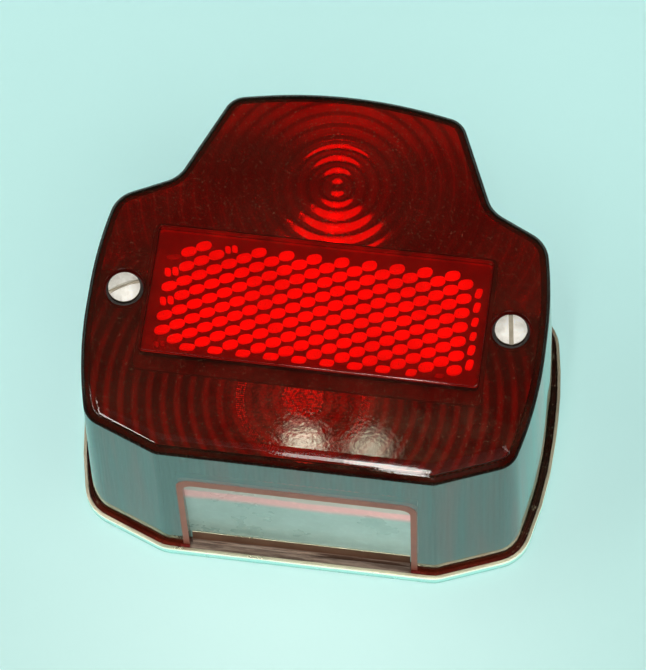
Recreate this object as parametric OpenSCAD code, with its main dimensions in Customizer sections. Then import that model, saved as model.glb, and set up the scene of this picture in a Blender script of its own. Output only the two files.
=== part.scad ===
// Motorcycle tail and stop lamp with number plate window.
// It lies on its back: +Z points out through the red lens, +Y to the top of the lamp.
// The origin is midway between the two mounting holes, on the back plane.
// All sizes are in millimetres.

/* [Lens] */
// Widest width over the red lens, at its face
lens_w = 123.5; // [118:0.5:130]
// Height over the red lens, at its face
lens_h = 110.9; // [106:0.5:116]
// Depth from the back plane to the lens face
lens_top = 63.3; // [61:0.1:68]
// Thickness of the lens walls
lens_wall = 2.5; // [2:0.1:3]
// Thickness of the lens face
lens_face = 3.0; // [2.6:0.1:3.4]
// Radius of the rounded edge around the lens face
edge_r = 3.0; // [2:0.1:3.5]
// How much wider each side is at the foot than at the face
draft = 2.0; // [0.4:0.1:2.2]
// Distance between the two lens screws
screw_pitch = 104; // [100:0.5:106]

/* [Number plate window] */
// Half width of the open window
win_hw = 30.7; // [26:0.1:31.5]
// Height of the top of the open window above the back plane
win_top = 42.3; // [34:0.1:46]
// How far the clear pane laps behind the red wall
pane_lap = 1.8; // [1:0.1:2.4]

/* [Reflex reflector] */
// Width of the reflex plate
reflex_w = 90.6; // [80:0.1:91]
// Height of the reflex plate
reflex_h = 37.3; // [30:0.1:38]
// Corner radius of the reflex plate
reflex_corner = 1.2; // [0.6:0.1:2.5]
// Height of the reflex plate above the lens face
reflex_proud = 1.0; // [0.5:0.1:1.5]

/* [Base] */
// Thickness of the pressed steel sheet
sheet = 0.8; // [0.8:0.1:1]
// Height of the turned-up rim
rim_h = 3.6; // [3.2:0.1:4]
// Height of the raised middle of the base
plateau_h = 7.0; // [6.5:0.1:7.5]
// Thickness of the rubber seal
gasket_t = 1.0; // [0.8:0.1:1.2]
// Distance between the two mounting holes
mount_pitch = 60; // [56:1:64]
// Diameter of the mounting holes
mount_d = 6.5; // [6.2:0.1:6.8]

/* [Lamps] */
// Distance of the stop lamp above the screw line
stop_y = 38; // [36:0.5:39]
// Distance of the tail lamp below the screw line
tail_y = 27; // [26:0.5:27]
// Diameter of the stop lamp's glass
stop_glass_d = 25; // [23:0.5:26]
// Length of the stop lamp, contact to glass top
stop_len = 48; // [44:0.5:49]
// Diameter of the tail lamp's glass
tail_glass_d = 18; // [16.5:0.5:19]
// Length of the tail lamp, contact to glass top
tail_len = 37; // [34:0.5:40]
// How far a lamp turns in its bayonet slots, in degrees
bayonet_turn = 18; // [15:1:22]
// How far a lamp can be pushed in against its contact spring
bayonet_push = 2.5; // [2:0.1:2.6]

/* [Hidden] */
$fn = 64;

// colours
red_lens = [0.35, 0.02, 0.02];
red_bright = [0.85, 0.03, 0.03];
zinc = [0.78, 0.74, 0.6];
brass = [0.75, 0.6, 0.3];
rubber = [0.12, 0.09, 0.08];
laminate = [0.45, 0.28, 0.15];

// derived sizes
sx = lens_w / 123.5;
sy = lens_h / 110.9;
screw_x = screw_pitch / 2;
mount_x = mount_pitch / 2;
foot_z = sheet + gasket_t;             // where the lens foot rests on the seal
flange_top = foot_z + 1.2;             // top of the lens's foot flange
rim_out = 4.1;                         // offsets from the lens face outline
rim_in = rim_out - 0.9;
flange_out = rim_in - 0.2;
plateau_out = -2.4;
reflector_z = plateau_h;               // bright plate lies on the plateau
socket_z = reflector_z + 0.8;          // socket flanges lie on the bright plate
face_in = lens_top - lens_face;
reflex_y = 0.45;
ledge_z = lens_top - 1.6;              // ledge that the reflex plate sits on
cbore_z = lens_top - 2.1;              // floor of the screw recess
washer_t = 0.8;
head_z = cbore_z + washer_t;           // underside of the screw head
post_top = 48;
shank_end = 40;
// heights inside each bayonet socket
contact_z = 9.2;                       // lamp contact on the socket contact
cap_z = contact_z + 1.1;               // bottom rim of the lamp cap
pin_z = cap_z + 6.9;                   // bayonet pins
cap_top = cap_z + 17;
shell_top = pin_z + 3.5;
disc_z = 7.4;                          // underside of the moving disc

// ---------- the lamp's outline: [x, y, corner radius, steps], right half from the top ----------
half = [[12, 65.1, 125, 3], [31.8, 61.3, 6.5, 5], [42.9, 35.4, 9, 4], [58.7, 27.7, 9, 5],
    [61.75, 11.98, 115, 3], [61.75, -19.31, 115, 3], [57, -37.85, 7, 5], [37, -45.8, 5, 2]];
nh = len(half);
corners = concat([for (c = half) [-c[0] * sx, c[1] * sy, c[2], c[3]]],
    [for (i = [nh - 1:-1:0]) [half[i][0] * sx, half[i][1] * sy, half[i][2], half[i][3]]]);
function unit(v) = v / norm(v);
function xy(c) = [c[0], c[1]];
// points of the arc that rounds corner V between its neighbours A and B
function corner_arc(A, V, B, r, n) =
    let (u = unit(A - V), w = unit(B - V), half_angle = acos(u * w) / 2,
        reach = r / tan(half_angle), m = V + unit(u + w) * r / sin(half_angle),
        p = V + u * reach, q = V + w * reach,
        a0 = atan2(p[1] - m[1], p[0] - m[0]), a1 = atan2(q[1] - m[1], q[0] - m[0]),
        d = ((a1 - a0 + 540) % 360) - 180)
    [for (i = [0:n]) m + r * [cos(a0 + d * i / n), sin(a0 + d * i / n)]];
arcs = [for (i = [0:len(corners) - 1])
    for (p = corner_arc(xy(corners[(i + len(corners) - 1) % len(corners)]), xy(corners[i]),
        xy(corners[(i + 1) % len(corners)]), corners[i][2], corners[i][3])) p];
// neighbouring arcs can meet in one point, which is kept once
outline = [for (i = [0:len(arcs) - 1])
    if (norm(arcs[i] - arcs[(i + len(arcs) - 1) % len(arcs)]) > 0.3) arcs[i]];
n_out = len(outline);
normals = [for (i = [0:n_out - 1])
    let (t = outline[(i + 1) % n_out] - outline[(i + n_out - 1) % n_out]) unit([t[1], -t[0]])];
// the outline moved outwards by d
function grown(d) = [for (i = [0:n_out - 1]) outline[i] + d * normals[i]];

module slab(d, z0, z1) { translate([0, 0, z0]) linear_extrude(z1 - z0) polygon(grown(d)); }

// a closed skin through rings of the outline, each ring given as [height, offset]
module skin(levels) {
    pts = [for (l = levels) for (p = grown(l[1])) [p[0], p[1], l[0]]];
    last = (len(levels) - 1) * n_out;
    polyhedron(points = pts, convexity = 8, faces = concat(
        [[for (i = [0:n_out - 1]) i]],
        [for (k = [0:len(levels) - 2]) for (i = [0:n_out - 1]) let (j = (i + 1) % n_out)
            [k * n_out + i, (k + 1) * n_out + i, (k + 1) * n_out + j, k * n_out + j]],
        [[for (i = [n_out - 1:-1:0]) last + i]]));
}

module at(points) { for (p = points) translate(p) children(); }
module ring(r_out, r_in, z0, z1) {
    translate([0, 0, z0]) difference() {
        cylinder(r = r_out, h = z1 - z0);
        translate([0, 0, -1]) cylinder(r = r_in, h = z1 - z0 + 2);
    }
}
module rounded_box(w, h, r, z0, z1) {
    translate([0, 0, z0]) linear_extrude(z1 - z0) union() {
        square([w - 2 * r, h], center = true);
        square([w, h - 2 * r], center = true);
        for (x = [-1, 1], y = [-1, 1]) translate([x * (w / 2 - r), y * (h / 2 - r)]) circle(r = r, $fn = 32);
    }
}

stop_at = [0, stop_y, 0];
tail_at = [0, -tail_y, 0];
rivet_x = 11.2;
socket_rivet_at = [for (c = [stop_at, tail_at], s = [-1, 1]) c + [s * rivet_x, 0, 0]];
partition_rivet_at = [for (s = [-1, 1]) [s * 34, 16, 0]];
earth_at = [22, -27, 0];

// ---------- base ----------
module base_plate() {
    color(zinc) difference() {
        union() {
            difference() {
                slab(rim_out, 0, rim_h);
                slab(rim_in, sheet, rim_h + 1);
            }
            slab(plateau_out, 0, plateau_h);
            // upstand that fills the foot of the window
            translate([-win_hw + 0.5, -45.8 * sy - 0.7, sheet / 2]) cube([2 * win_hw - 1, 0.9, 6.8]);
        }
        // hollow behind the plateau, with the two mounting cups left standing
        difference() {
            slab(plateau_out - 1, -1, plateau_h - 1);
            at([[-mount_x, 0, -2], [mount_x, 0, -2]]) cylinder(r = 9, h = plateau_h + 4);
        }
        at([[-mount_x, 0, 1], [mount_x, 0, 1]]) cylinder(r = 8, h = plateau_h);
        at([[-mount_x, 0, -1], [mount_x, 0, -1]]) cylinder(d = mount_d, h = 4);
        at([stop_at, tail_at]) translate([0, 0, 1]) cylinder(r = 8.9, h = plateau_h);
        at(concat(socket_rivet_at, partition_rivet_at, [earth_at])) translate([0, 0, 1]) cylinder(r = 1.6, h = plateau_h);
        at([[-screw_x, 0, 1], [screw_x, 0, 1]]) cylinder(r = 2.6, h = plateau_h);
    }
}

module base_gasket() {
    color(rubber) difference() {
        slab(rim_in - 0.1, sheet, foot_z);
        slab(plateau_out + 0.1, sheet - 1, foot_z + 1);
        translate([-win_hw + 0.4, -45.8 * sy - 0.8, 0]) cube([2 * win_hw - 0.8, 1.1, 6]);
    }
}

// two turned posts riveted through the plateau, with a blind thread for each lens screw
module lens_posts() {
    color(zinc) at([[-screw_x, 0, 0], [screw_x, 0, 0]]) difference() {
        union() {
            translate([0, 0, plateau_h]) cylinder(r = 4.5, h = post_top - plateau_h);
            translate([0, 0, plateau_h - 1.5]) cylinder(r = 2.5, h = 2);
            translate([0, 0, plateau_h - 2.2]) cylinder(r = 3.6, h = 1.2);
        }
        translate([0, 0, shank_end - 2]) cylinder(r = 2.55, h = post_top - shank_end + 3);
    }
}

module reflector() {
    color([0.85, 0.86, 0.88]) {
        difference() {
            union() {
                slab(plateau_out - 1.6, reflector_z, reflector_z + 0.8);
                translate(stop_at) rotate_extrude() polygon([[14.6, reflector_z + 0.4], [15.6, reflector_z + 0.4],
                    [16.5, 10.3], [18.4, 12.6], [21.0, 15.2], [20.0, 15.2], [17.5, 12.9], [15.6, 10.8]]);
            }
            at([stop_at, tail_at]) cylinder(r = 9, h = 20);
            at(concat(socket_rivet_at, partition_rivet_at, [earth_at])) cylinder(r = 1.6, h = 20);
            at([[-mount_x, 0, 0], [mount_x, 0, 0]]) cylinder(r = 8, h = 20);
            at([[-screw_x, 0, 0], [screw_x, 0, 0]]) cylinder(r = 4.7, h = 20);
        }
    }
}

module light_partition() {
    color(zinc) difference() {
        union() {
            translate([-44, 11.2, socket_z]) cube([88, 0.8, 47]);
            for (s = [-1, 1]) translate([s * 34 - 6, 11.2, socket_z]) cube([12, 9, 0.8]);
        }
        at(partition_rivet_at) cylinder(r = 1.6, h = 20);
        // the top corners are cut away beside the reflex backing
        for (s = [-1, 1]) translate([s * 44, 10, 62]) rotate([-90, 0, 0]) cylinder(r = 12, h = 4);
    }
}

module rivet(z_top) {
    cylinder(r = 1.5, h = z_top);
    translate([0, 0, z_top]) intersection() {
        cylinder(r = 2.4, h = 1.2);
        translate([0, 0, -1.9]) sphere(r = 3.06);
    }
    translate([0, 0, -1]) cylinder(r = 2.3, h = 1);
}
module partition_rivets() { color(brass) at(partition_rivet_at) translate([0, 0, plateau_h - 1]) rivet(2.6); }
module socket_rivets() { color(brass) at(socket_rivet_at) translate([0, 0, plateau_h - 1]) rivet(2.6); }
module earth_rivet() { color(brass) translate(earth_at) translate([0, 0, plateau_h - 1.6]) rivet(2.4); }
module earth_terminal() {
    color(brass) difference() {
        union() {
            translate(earth_at + [0, 0, plateau_h - 1.6]) cylinder(r = 4, h = 0.6);
            translate(earth_at + [-3.15, 0, plateau_h - 1.6]) cube([6.3, 13, 0.6]);
        }
        translate(earth_at) cylinder(r = 1.6, h = 20);
        translate(earth_at + [0, 9.5, 0]) cylinder(r = 0.9, h = 20);
    }
}

// ---------- bayonet sockets ----------
module sector(a0, a1, r, z0, z1) {
    translate([0, 0, z0]) linear_extrude(z1 - z0)
        polygon(concat([[0, 0]], [for (i = [0:4]) r * [cos(a0 + (a1 - a0) * i / 4), sin(a0 + (a1 - a0) * i / 4)]]));
}
module socket_shell(tab_dir) {
    color([0.8, 0.8, 0.78]) difference() {
        union() {
            translate([0, 0, 0.9]) cylinder(r = 8.7, h = shell_top - 0.9);
            translate([0, 0, socket_z]) cylinder(r = 14, h = 0.8);
        }
        translate([0, 0, 1.2]) cylinder(r = 7.8, h = 30);
        cylinder(r = 6, h = 5);
        for (s = [-1, 1]) translate([s * rivet_x, 0, 0]) cylinder(r = 1.6, h = 20);
        // bayonet slots: a window for push and turn, and a way up to the mouth at the turned end
        for (a = [0, 180]) rotate(a) {
            sector(-8.5, bayonet_turn + 8.5, 12, pin_z - bayonet_push - 1.2, pin_z + 1.1);
            sector(bayonet_turn - 8.5, bayonet_turn + 8.5, 12, pin_z, shell_top + 1);
        }
        // slot that lets the terminal out
        translate([-3.3, tab_dir > 0 ? 0 : -12, 2.3]) cube([6.6, 12, 0.75]);
    }
}
module socket_insulator() { color(laminate) translate([0, 0, 1.2]) cylinder(r = 7.7, h = 1.1); }
module terminal(tab_dir) {
    color(brass) difference() {
        union() {
            translate([0, 0, 2.35]) cylinder(r = 6.6, h = 0.55);
            translate([-3.15, tab_dir > 0 ? 0 : -20, 2.35]) cube([6.3, 20, 0.55]);
        }
        translate([0, tab_dir * 16.5, 0]) cylinder(r = 0.9, h = 6);
    }
}
// compression spring: a wire of radius wr wound on radius cr from z0 to z1, with flat closed ends
function coil_z(t, turns, z0, z1, wr) =
    let (f = t / turns, e = 0.9 / turns)
    z0 + wr + (z1 - z0 - 2 * wr) * (f < e ? 0.12 * f / e : f > 1 - e ? 0.88 + 0.12 * (f - 1 + e) / e
        : 0.12 + 0.76 * (f - e) / (1 - 2 * e));
module coil(cr, wr, z0, z1, turns, steps = 14, sides = 8) {
    n = round(turns * steps);
    pts = [for (i = [0:n]) let (a = 360 * i / steps, z = coil_z(i / steps, turns, z0, z1, wr))
        for (k = [0:sides - 1]) let (b = 360 * k / sides)
            [(cr + wr * cos(b)) * cos(a), (cr + wr * cos(b)) * sin(a), z + wr * sin(b)]];
    polyhedron(points = pts, convexity = 8, faces = concat(
        [[for (k = [0:sides - 1]) k]],
        [for (i = [0:n - 1]) for (k = [0:sides - 1]) let (m = (k + 1) % sides)
            [i * sides + k, (i + 1) * sides + k, (i + 1) * sides + m, i * sides + m]],
        [[for (k = [sides - 1:-1:0]) n * sides + k]]));
}
module contact_spring() { color([0.7, 0.7, 0.72]) coil(5.2, 0.4, 2.95, disc_z - 0.05, 3.5); }
module contact_disc() {
    color(laminate) difference() {
        translate([0, 0, disc_z]) cylinder(r = 7.2, h = 1.5);
        translate([0, 0, disc_z - 1]) cylinder(r = 2.5, h = 4);
    }
}
module contact_pin() {
    color(brass) {
        translate([0, 0, disc_z - 0.8]) cylinder(r = 2.45, h = 2.4);
        translate([0, 0, disc_z + 1.5]) cylinder(r = 3.4, h = contact_z - disc_z - 1.55);
    }
}

// ---------- lamps ----------
module lamp_cap() {
    color(brass) difference() {
        union() {
            translate([0, 0, cap_z]) cylinder(r = 7.5, h = 16.2);
            translate([0, 0, cap_z + 16.2]) cylinder(r1 = 7.5, r2 = 7.7, h = 0.8);
            for (s = [-1, 1]) translate([s * 7, 0, pin_z]) rotate([0, s * 90, 0]) cylinder(r = 1, h = 1.55, $fn = 32);
        }
        translate([0, 0, cap_z + 1.6]) cylinder(r = 7.1, h = 20);
        translate([0, 0, cap_z - 1]) cylinder(r = 5, h = 4);
    }
}
module lamp_insulator() {
    color([0.06, 0.06, 0.07]) difference() {
        union() {
            translate([0, 0, cap_z - 0.5]) cylinder(r1 = 3.6, r2 = 4.95, h = 0.5);
            translate([0, 0, cap_z]) cylinder(r = 4.95, h = 1.6);
        }
        translate([0, 0, cap_z - 2]) cylinder(r = 1.5, h = 6);
    }
}
module lamp_contact() {
    color([0.7, 0.7, 0.72]) {
        translate([0, 0, contact_z]) cylinder(r1 = 2.1, r2 = 2.5, h = 0.6);
        translate([0, 0, contact_z + 0.5]) cylinder(r = 1.45, h = 2.1);
    }
}
// glass envelope: a round globe on a neck that is cemented into the cap
function globe(r, zc, a0, n) = [for (i = [0:n]) let (a = a0 + (90 - a0) * i / n) [r * cos(a), zc + r * sin(a)]];
module lamp_glass(d, len) {
    r = d / 2; zc = contact_z + len - r; w = 0.7; nr = 6.7; nz = cap_top - 5;
    a = -acos(nr / r) - 0;
    ai = -acos((nr - w) / (r - w));
    outer = concat([[nr, nz]], globe(r, zc, a, 16));
    inner = concat([[nr - w, nz]], globe(r - w, zc, ai, 16));
    color([0.9, 0.93, 0.95, 0.4]) rotate_extrude() polygon(concat(
        [for (p = outer) [max(p[0], 0), p[1]]],
        [for (i = [len(inner) - 1:-1:0]) [max(inner[i][0], 0), inner[i][1]]]));
}
// glass stem with two support wires and a coiled filament between them
module lamp_filament(d, len) {
    zc = contact_z + len - d / 2; s = d * 0.17;
    color([0.55, 0.55, 0.58]) {
        translate([0, 0, cap_top - 5]) cylinder(r = 3, h = 3);
        translate([0, 0, cap_top - 2]) cylinder(r1 = 3, r2 = 1.6, h = 6);
        for (x = [-1, 1]) {
            translate([x * 1.0, 0, cap_top]) rotate([0, x * atan((s - 1) / (zc - cap_top)), 0])
                cylinder(r = 0.35, h = norm([s - 1, zc - cap_top]), $fn = 16);
            translate([x * s, 0, zc]) sphere(r = 0.5, $fn = 24);
        }
        translate([-s, 0, zc]) rotate([0, 90, 0]) cylinder(r = 0.38, h = 2 * s, $fn = 16);
    }
}

// ---------- lens ----------
boss_end = post_top + 0.3;
module lens() {
    t = lens_wall;
    arc = [for (i = [1:4]) let (a = i * 22.5) [lens_top - edge_r + edge_r * sin(a), -edge_r * (1 - cos(a))]];
    color(red_lens) difference() {
        union() {
            skin(concat([[face_in, -t - 2], [face_in - 0.6, -t - 0.6], [face_in - 2, -t], [foot_z, draft - t],
                [foot_z, flange_out], [flange_top, flange_out], [flange_top, draft], [lens_top - edge_r, 0]], arc));
            at([[-screw_x, 0, boss_end], [screw_x, 0, boss_end]]) cylinder(r = 5.2, h = face_in - boss_end + 0.5);
        }
        // window through the bottom wall, open at the foot, and the step that the pane sits in
        translate([-win_hw, -60, foot_z - 1]) cube([2 * win_hw, 25, win_top - foot_z + 1]);
        translate([-win_hw - pane_lap, -45.8 * sy + 0.6, foot_z - 1])
            cube([2 * (win_hw + pane_lap), 1.3, win_top + 2.7 - foot_z + 1]);
        translate([-win_hw - pane_lap, -45.8 * sy + 1.8, foot_z - 1])
            cube([2 * (win_hw + pane_lap), 2, win_top + 2.7 - foot_z + 1]);
        // seat of the reflex plate
        translate([0, reflex_y, 0]) rounded_box(reflex_w + 0.1, reflex_h + 0.1, reflex_corner, ledge_z, lens_top + 1);
        translate([0, reflex_y, 0]) rounded_box(reflex_w - 4.4, reflex_h - 4.4, 1.5, face_in - 1, lens_top);
        // screw holes and recesses
        at([[-screw_x, 0, 0], [screw_x, 0, 0]]) {
            translate([0, 0, boss_end - 1]) cylinder(r = 2.75, h = 30);
            translate([0, 0, cbore_z]) cylinder(r = 5.4, h = 5);
        }
    }
}
// clear red plate whose back is covered with prisms, here as a stepped slab
module reflex_reflector() {
    color(red_bright) translate([0, reflex_y, 0]) {
        rounded_box(reflex_w, reflex_h, reflex_corner, ledge_z, lens_top + reflex_proud - 0.5);
        rounded_box(reflex_w - 1, reflex_h - 1, reflex_corner - 0.5, lens_top + reflex_proud - 0.5, lens_top + reflex_proud);
        rounded_box(reflex_w - 4.8, reflex_h - 4.8, 1.3, ledge_z - 1.1, ledge_z);
    }
}
module reflex_backing() {
    color([0.3, 0.05, 0.05]) translate([0, reflex_y, 0]) difference() {
        rounded_box(reflex_w - 1, reflex_h - 1, 2, face_in - 3.6, face_in);
        rounded_box(reflex_w - 4.4, reflex_h - 4.4, 1, face_in - 2.6, face_in + 1);
    }
}
module window_pane() {
    color([0.85, 0.9, 0.9, 0.35]) translate([-win_hw - pane_lap + 0.05, -45.8 * sy + 0.65, foot_z + 0.4])
        cube([2 * (win_hw + pane_lap) - 0.1, 1.25, win_top + 2.6 - foot_z - 0.4]);
}

// ---------- lens screws ----------
module lens_screw(slot_angle) {
    color(zinc) difference() {
        union() {
            translate([0, 0, shank_end]) cylinder(r = 2.5, h = head_z - shank_end + 0.5);
            translate([0, 0, shank_end - 0.6]) cylinder(r1 = 1.9, r2 = 2.5, h = 0.6);
            translate([0, 0, head_z]) cylinder(r = 4.3, h = 1.5);
            translate([0, 0, head_z + 1.5]) intersection() {
                cylinder(r = 4.3, h = 1.3);
                translate([0, 0, -6.5]) sphere(r = 7.79);
            }
        }
        translate([0, 0, head_z + 1.1]) rotate(slot_angle) translate([-6, -0.6, 0]) cube([12, 1.2, 4]);
    }
}
module screw_washer() { color(rubber) ring(5.0, 2.65, cbore_z, cbore_z + washer_t); }

base_plate();
base_gasket();
lens_posts();
reflector();
light_partition();
partition_rivets();
socket_rivets();
earth_terminal();
earth_rivet();
translate(stop_at) socket_shell(-1);  // stop_socket_shell
translate(stop_at) socket_insulator();  // stop_socket_insulator
translate(stop_at) terminal(-1);  // stop_terminal
translate(stop_at) contact_spring();  // stop_contact_spring
translate(stop_at) contact_disc();  // stop_contact_disc
translate(stop_at) contact_pin();  // stop_contact_pin
translate(stop_at) lamp_cap();  // stop_lamp_cap
translate(stop_at) lamp_insulator();  // stop_lamp_insulator
translate(stop_at) lamp_contact();  // stop_lamp_contact
translate(stop_at) lamp_glass(stop_glass_d, stop_len);  // stop_lamp_glass
translate(stop_at) lamp_filament(stop_glass_d, stop_len);  // stop_lamp_filament
translate(tail_at) socket_shell(1);  // tail_socket_shell
translate(tail_at) socket_insulator();  // tail_socket_insulator
translate(tail_at) terminal(1);  // tail_terminal
translate(tail_at) contact_spring();  // tail_contact_spring
translate(tail_at) contact_disc();  // tail_contact_disc
translate(tail_at) contact_pin();  // tail_contact_pin
translate(tail_at) lamp_cap();  // tail_lamp_cap
translate(tail_at) lamp_insulator();  // tail_lamp_insulator
translate(tail_at) lamp_contact();  // tail_lamp_contact
translate(tail_at) lamp_glass(tail_glass_d, tail_len);  // tail_lamp_glass
translate(tail_at) lamp_filament(tail_glass_d, tail_len);  // tail_lamp_filament
lens();
reflex_reflector();
reflex_backing();
window_pane();
translate([-screw_x, 0, 0]) lens_screw(29);  // left_lens_screw
translate([screw_x, 0, 0]) lens_screw(98);  // right_lens_screw
translate([-screw_x, 0, 0]) screw_washer();  // left_screw_washer
translate([screw_x, 0, 0]) screw_washer();  // right_screw_washer
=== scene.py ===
import math

import bmesh
import bpy
from mathutils import Matrix, Vector, noise
from mathutils.geometry import delaunay_2d_cdt


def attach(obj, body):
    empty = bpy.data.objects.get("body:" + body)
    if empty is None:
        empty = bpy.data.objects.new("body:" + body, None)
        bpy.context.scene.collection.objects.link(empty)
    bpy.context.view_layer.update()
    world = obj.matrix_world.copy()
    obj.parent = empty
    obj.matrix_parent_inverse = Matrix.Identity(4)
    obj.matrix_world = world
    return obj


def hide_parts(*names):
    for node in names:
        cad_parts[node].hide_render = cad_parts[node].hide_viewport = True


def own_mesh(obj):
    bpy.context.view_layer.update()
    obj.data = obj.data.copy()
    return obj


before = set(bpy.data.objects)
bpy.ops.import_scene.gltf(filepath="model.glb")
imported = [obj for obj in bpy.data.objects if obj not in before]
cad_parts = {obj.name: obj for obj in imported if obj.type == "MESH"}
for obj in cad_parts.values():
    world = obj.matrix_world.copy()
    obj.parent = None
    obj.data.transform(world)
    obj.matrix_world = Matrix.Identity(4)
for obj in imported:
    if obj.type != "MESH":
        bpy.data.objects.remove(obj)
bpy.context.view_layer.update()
MM = 0.001

# ------------------------------------------------------------------ camera
scene = bpy.context.scene
cam_data = bpy.data.cameras.new("camera")
cam_data.sensor_fit = "AUTO"
cam_data.sensor_width = 36.0
cam_data.lens = 4000.0 / 670.0 * 36.0
cam_data.clip_start, cam_data.clip_end = 0.05, 20.0
cam = bpy.data.objects.new("camera", cam_data)
scene.collection.objects.link(cam)
cam.matrix_world = Matrix((
    (0.99048846, -0.10969490, 0.08306407, 0.09086500),
    (0.13425262, 0.90272223, -0.40874051, -0.44155077),
    (-0.03014703, 0.41600433, 0.90886278, 1.02824549),
    (0.0, 0.0, 0.0, 1.0)))
scene.camera = cam
scene.view_settings.view_transform = "Standard"
scene.view_settings.look = "None"
scene.cycles.transparent_max_bounces = 24
scene.cycles.max_bounces = 10
scene.cycles.caustics_reflective = True
scene.cycles.caustics_refractive = True


# ------------------------------------------------------------------ small node helpers
class Mat:
    """Builds one node material. Values set with put() go straight on the socket."""

    def __init__(self, name):
        self.m = bpy.data.materials.new(name)
        self.m.use_nodes = True
        self.t = self.m.node_tree
        self.t.nodes.clear()
        self.out = self.t.nodes.new("ShaderNodeOutputMaterial")
        self.n = 0

    def node(self, kind, **inputs):
        n = self.t.nodes.new(kind)
        self.n += 1
        n.location = (200 * self.n - 2400, 0)
        for k, v in inputs.items():
            if hasattr(n, k):
                setattr(n, k, v)
            else:
                self.put(n, k.replace("_", " "), v)
        return n

    def put(self, n, key, v):
        s = n.inputs[key]
        if isinstance(v, bpy.types.NodeSocket):
            self.t.links.new(v, s)
        elif isinstance(v, (tuple, list)) and len(v) == 3 and s.type == "RGBA":
            s.default_value = (*v, 1.0)
        else:
            s.default_value = v

    def coords(self, scale=(1, 1, 1), offset=(0, 0, 0)):
        c = self.node("ShaderNodeTexCoord")
        m = self.node("ShaderNodeMapping")
        self.put(m, "Vector", c.outputs["Object"])
        self.put(m, "Scale", scale)
        self.put(m, "Location", offset)
        return m.outputs[0]

    def noise(self, scale, detail=4.0, rough=0.55, stretch=(1, 1, 1), offset=(0, 0, 0), distort=0.0):
        n = self.node("ShaderNodeTexNoise")
        self.put(n, "Vector", self.coords(stretch, offset))
        self.put(n, "Scale", scale)
        self.put(n, "Detail", detail)
        self.put(n, "Roughness", rough)
        self.put(n, "Distortion", distort)
        return n.outputs["Fac"]

    def range(self, v, a, b, lo=0.0, hi=1.0, kind="LINEAR"):
        n = self.node("ShaderNodeMapRange")
        n.interpolation_type = kind
        n.clamp = True
        self.put(n, "Value", v)
        for k, x in (("From Min", a), ("From Max", b), ("To Min", lo), ("To Max", hi)):
            self.put(n, k, x)
        return n.outputs[0]

    def math(self, op, a, b=0.0):
        n = self.node("ShaderNodeMath")
        n.operation = op
        for i, v in enumerate((a, b)):
            if isinstance(v, bpy.types.NodeSocket):
                self.t.links.new(v, n.inputs[i])
            else:
                n.inputs[i].default_value = v
        return n.outputs[0]

    def mix(self, f, a, b):
        n = self.node("ShaderNodeMix")
        n.data_type = "RGBA"
        for k, v in (("Factor", f), ("A", a), ("B", b)):
            s = [x for x in n.inputs if x.name == k and (x.type == "RGBA" or k == "Factor") and x.enabled][0]
            if isinstance(v, bpy.types.NodeSocket):
                self.t.links.new(v, s)
            elif isinstance(v, (tuple, list)):
                s.default_value = (*v, 1.0)
            else:
                s.default_value = v
        return [o for o in n.outputs if o.type == "RGBA"][0]

    def bump(self, h, strength, dist=0.0002, normal=None):
        n = self.node("ShaderNodeBump")
        self.put(n, "Height", h)
        self.put(n, "Strength", strength)
        self.put(n, "Distance", dist)
        if normal is not None:
            self.put(n, "Normal", normal)
        return n.outputs[0]

    def principled(self, **kw):
        return self.node("ShaderNodeBsdfPrincipled", **kw)

    def shader_mix(self, f, a, b):
        n = self.node("ShaderNodeMixShader")
        if isinstance(f, bpy.types.NodeSocket):
            self.t.links.new(f, n.inputs[0])
        else:
            n.inputs[0].default_value = f
        self.t.links.new(a, n.inputs[1])
        self.t.links.new(b, n.inputs[2])
        return n.outputs[0]

    def done(self, shader):
        self.t.links.new(shader, self.out.inputs["Surface"])
        return self.m


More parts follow.
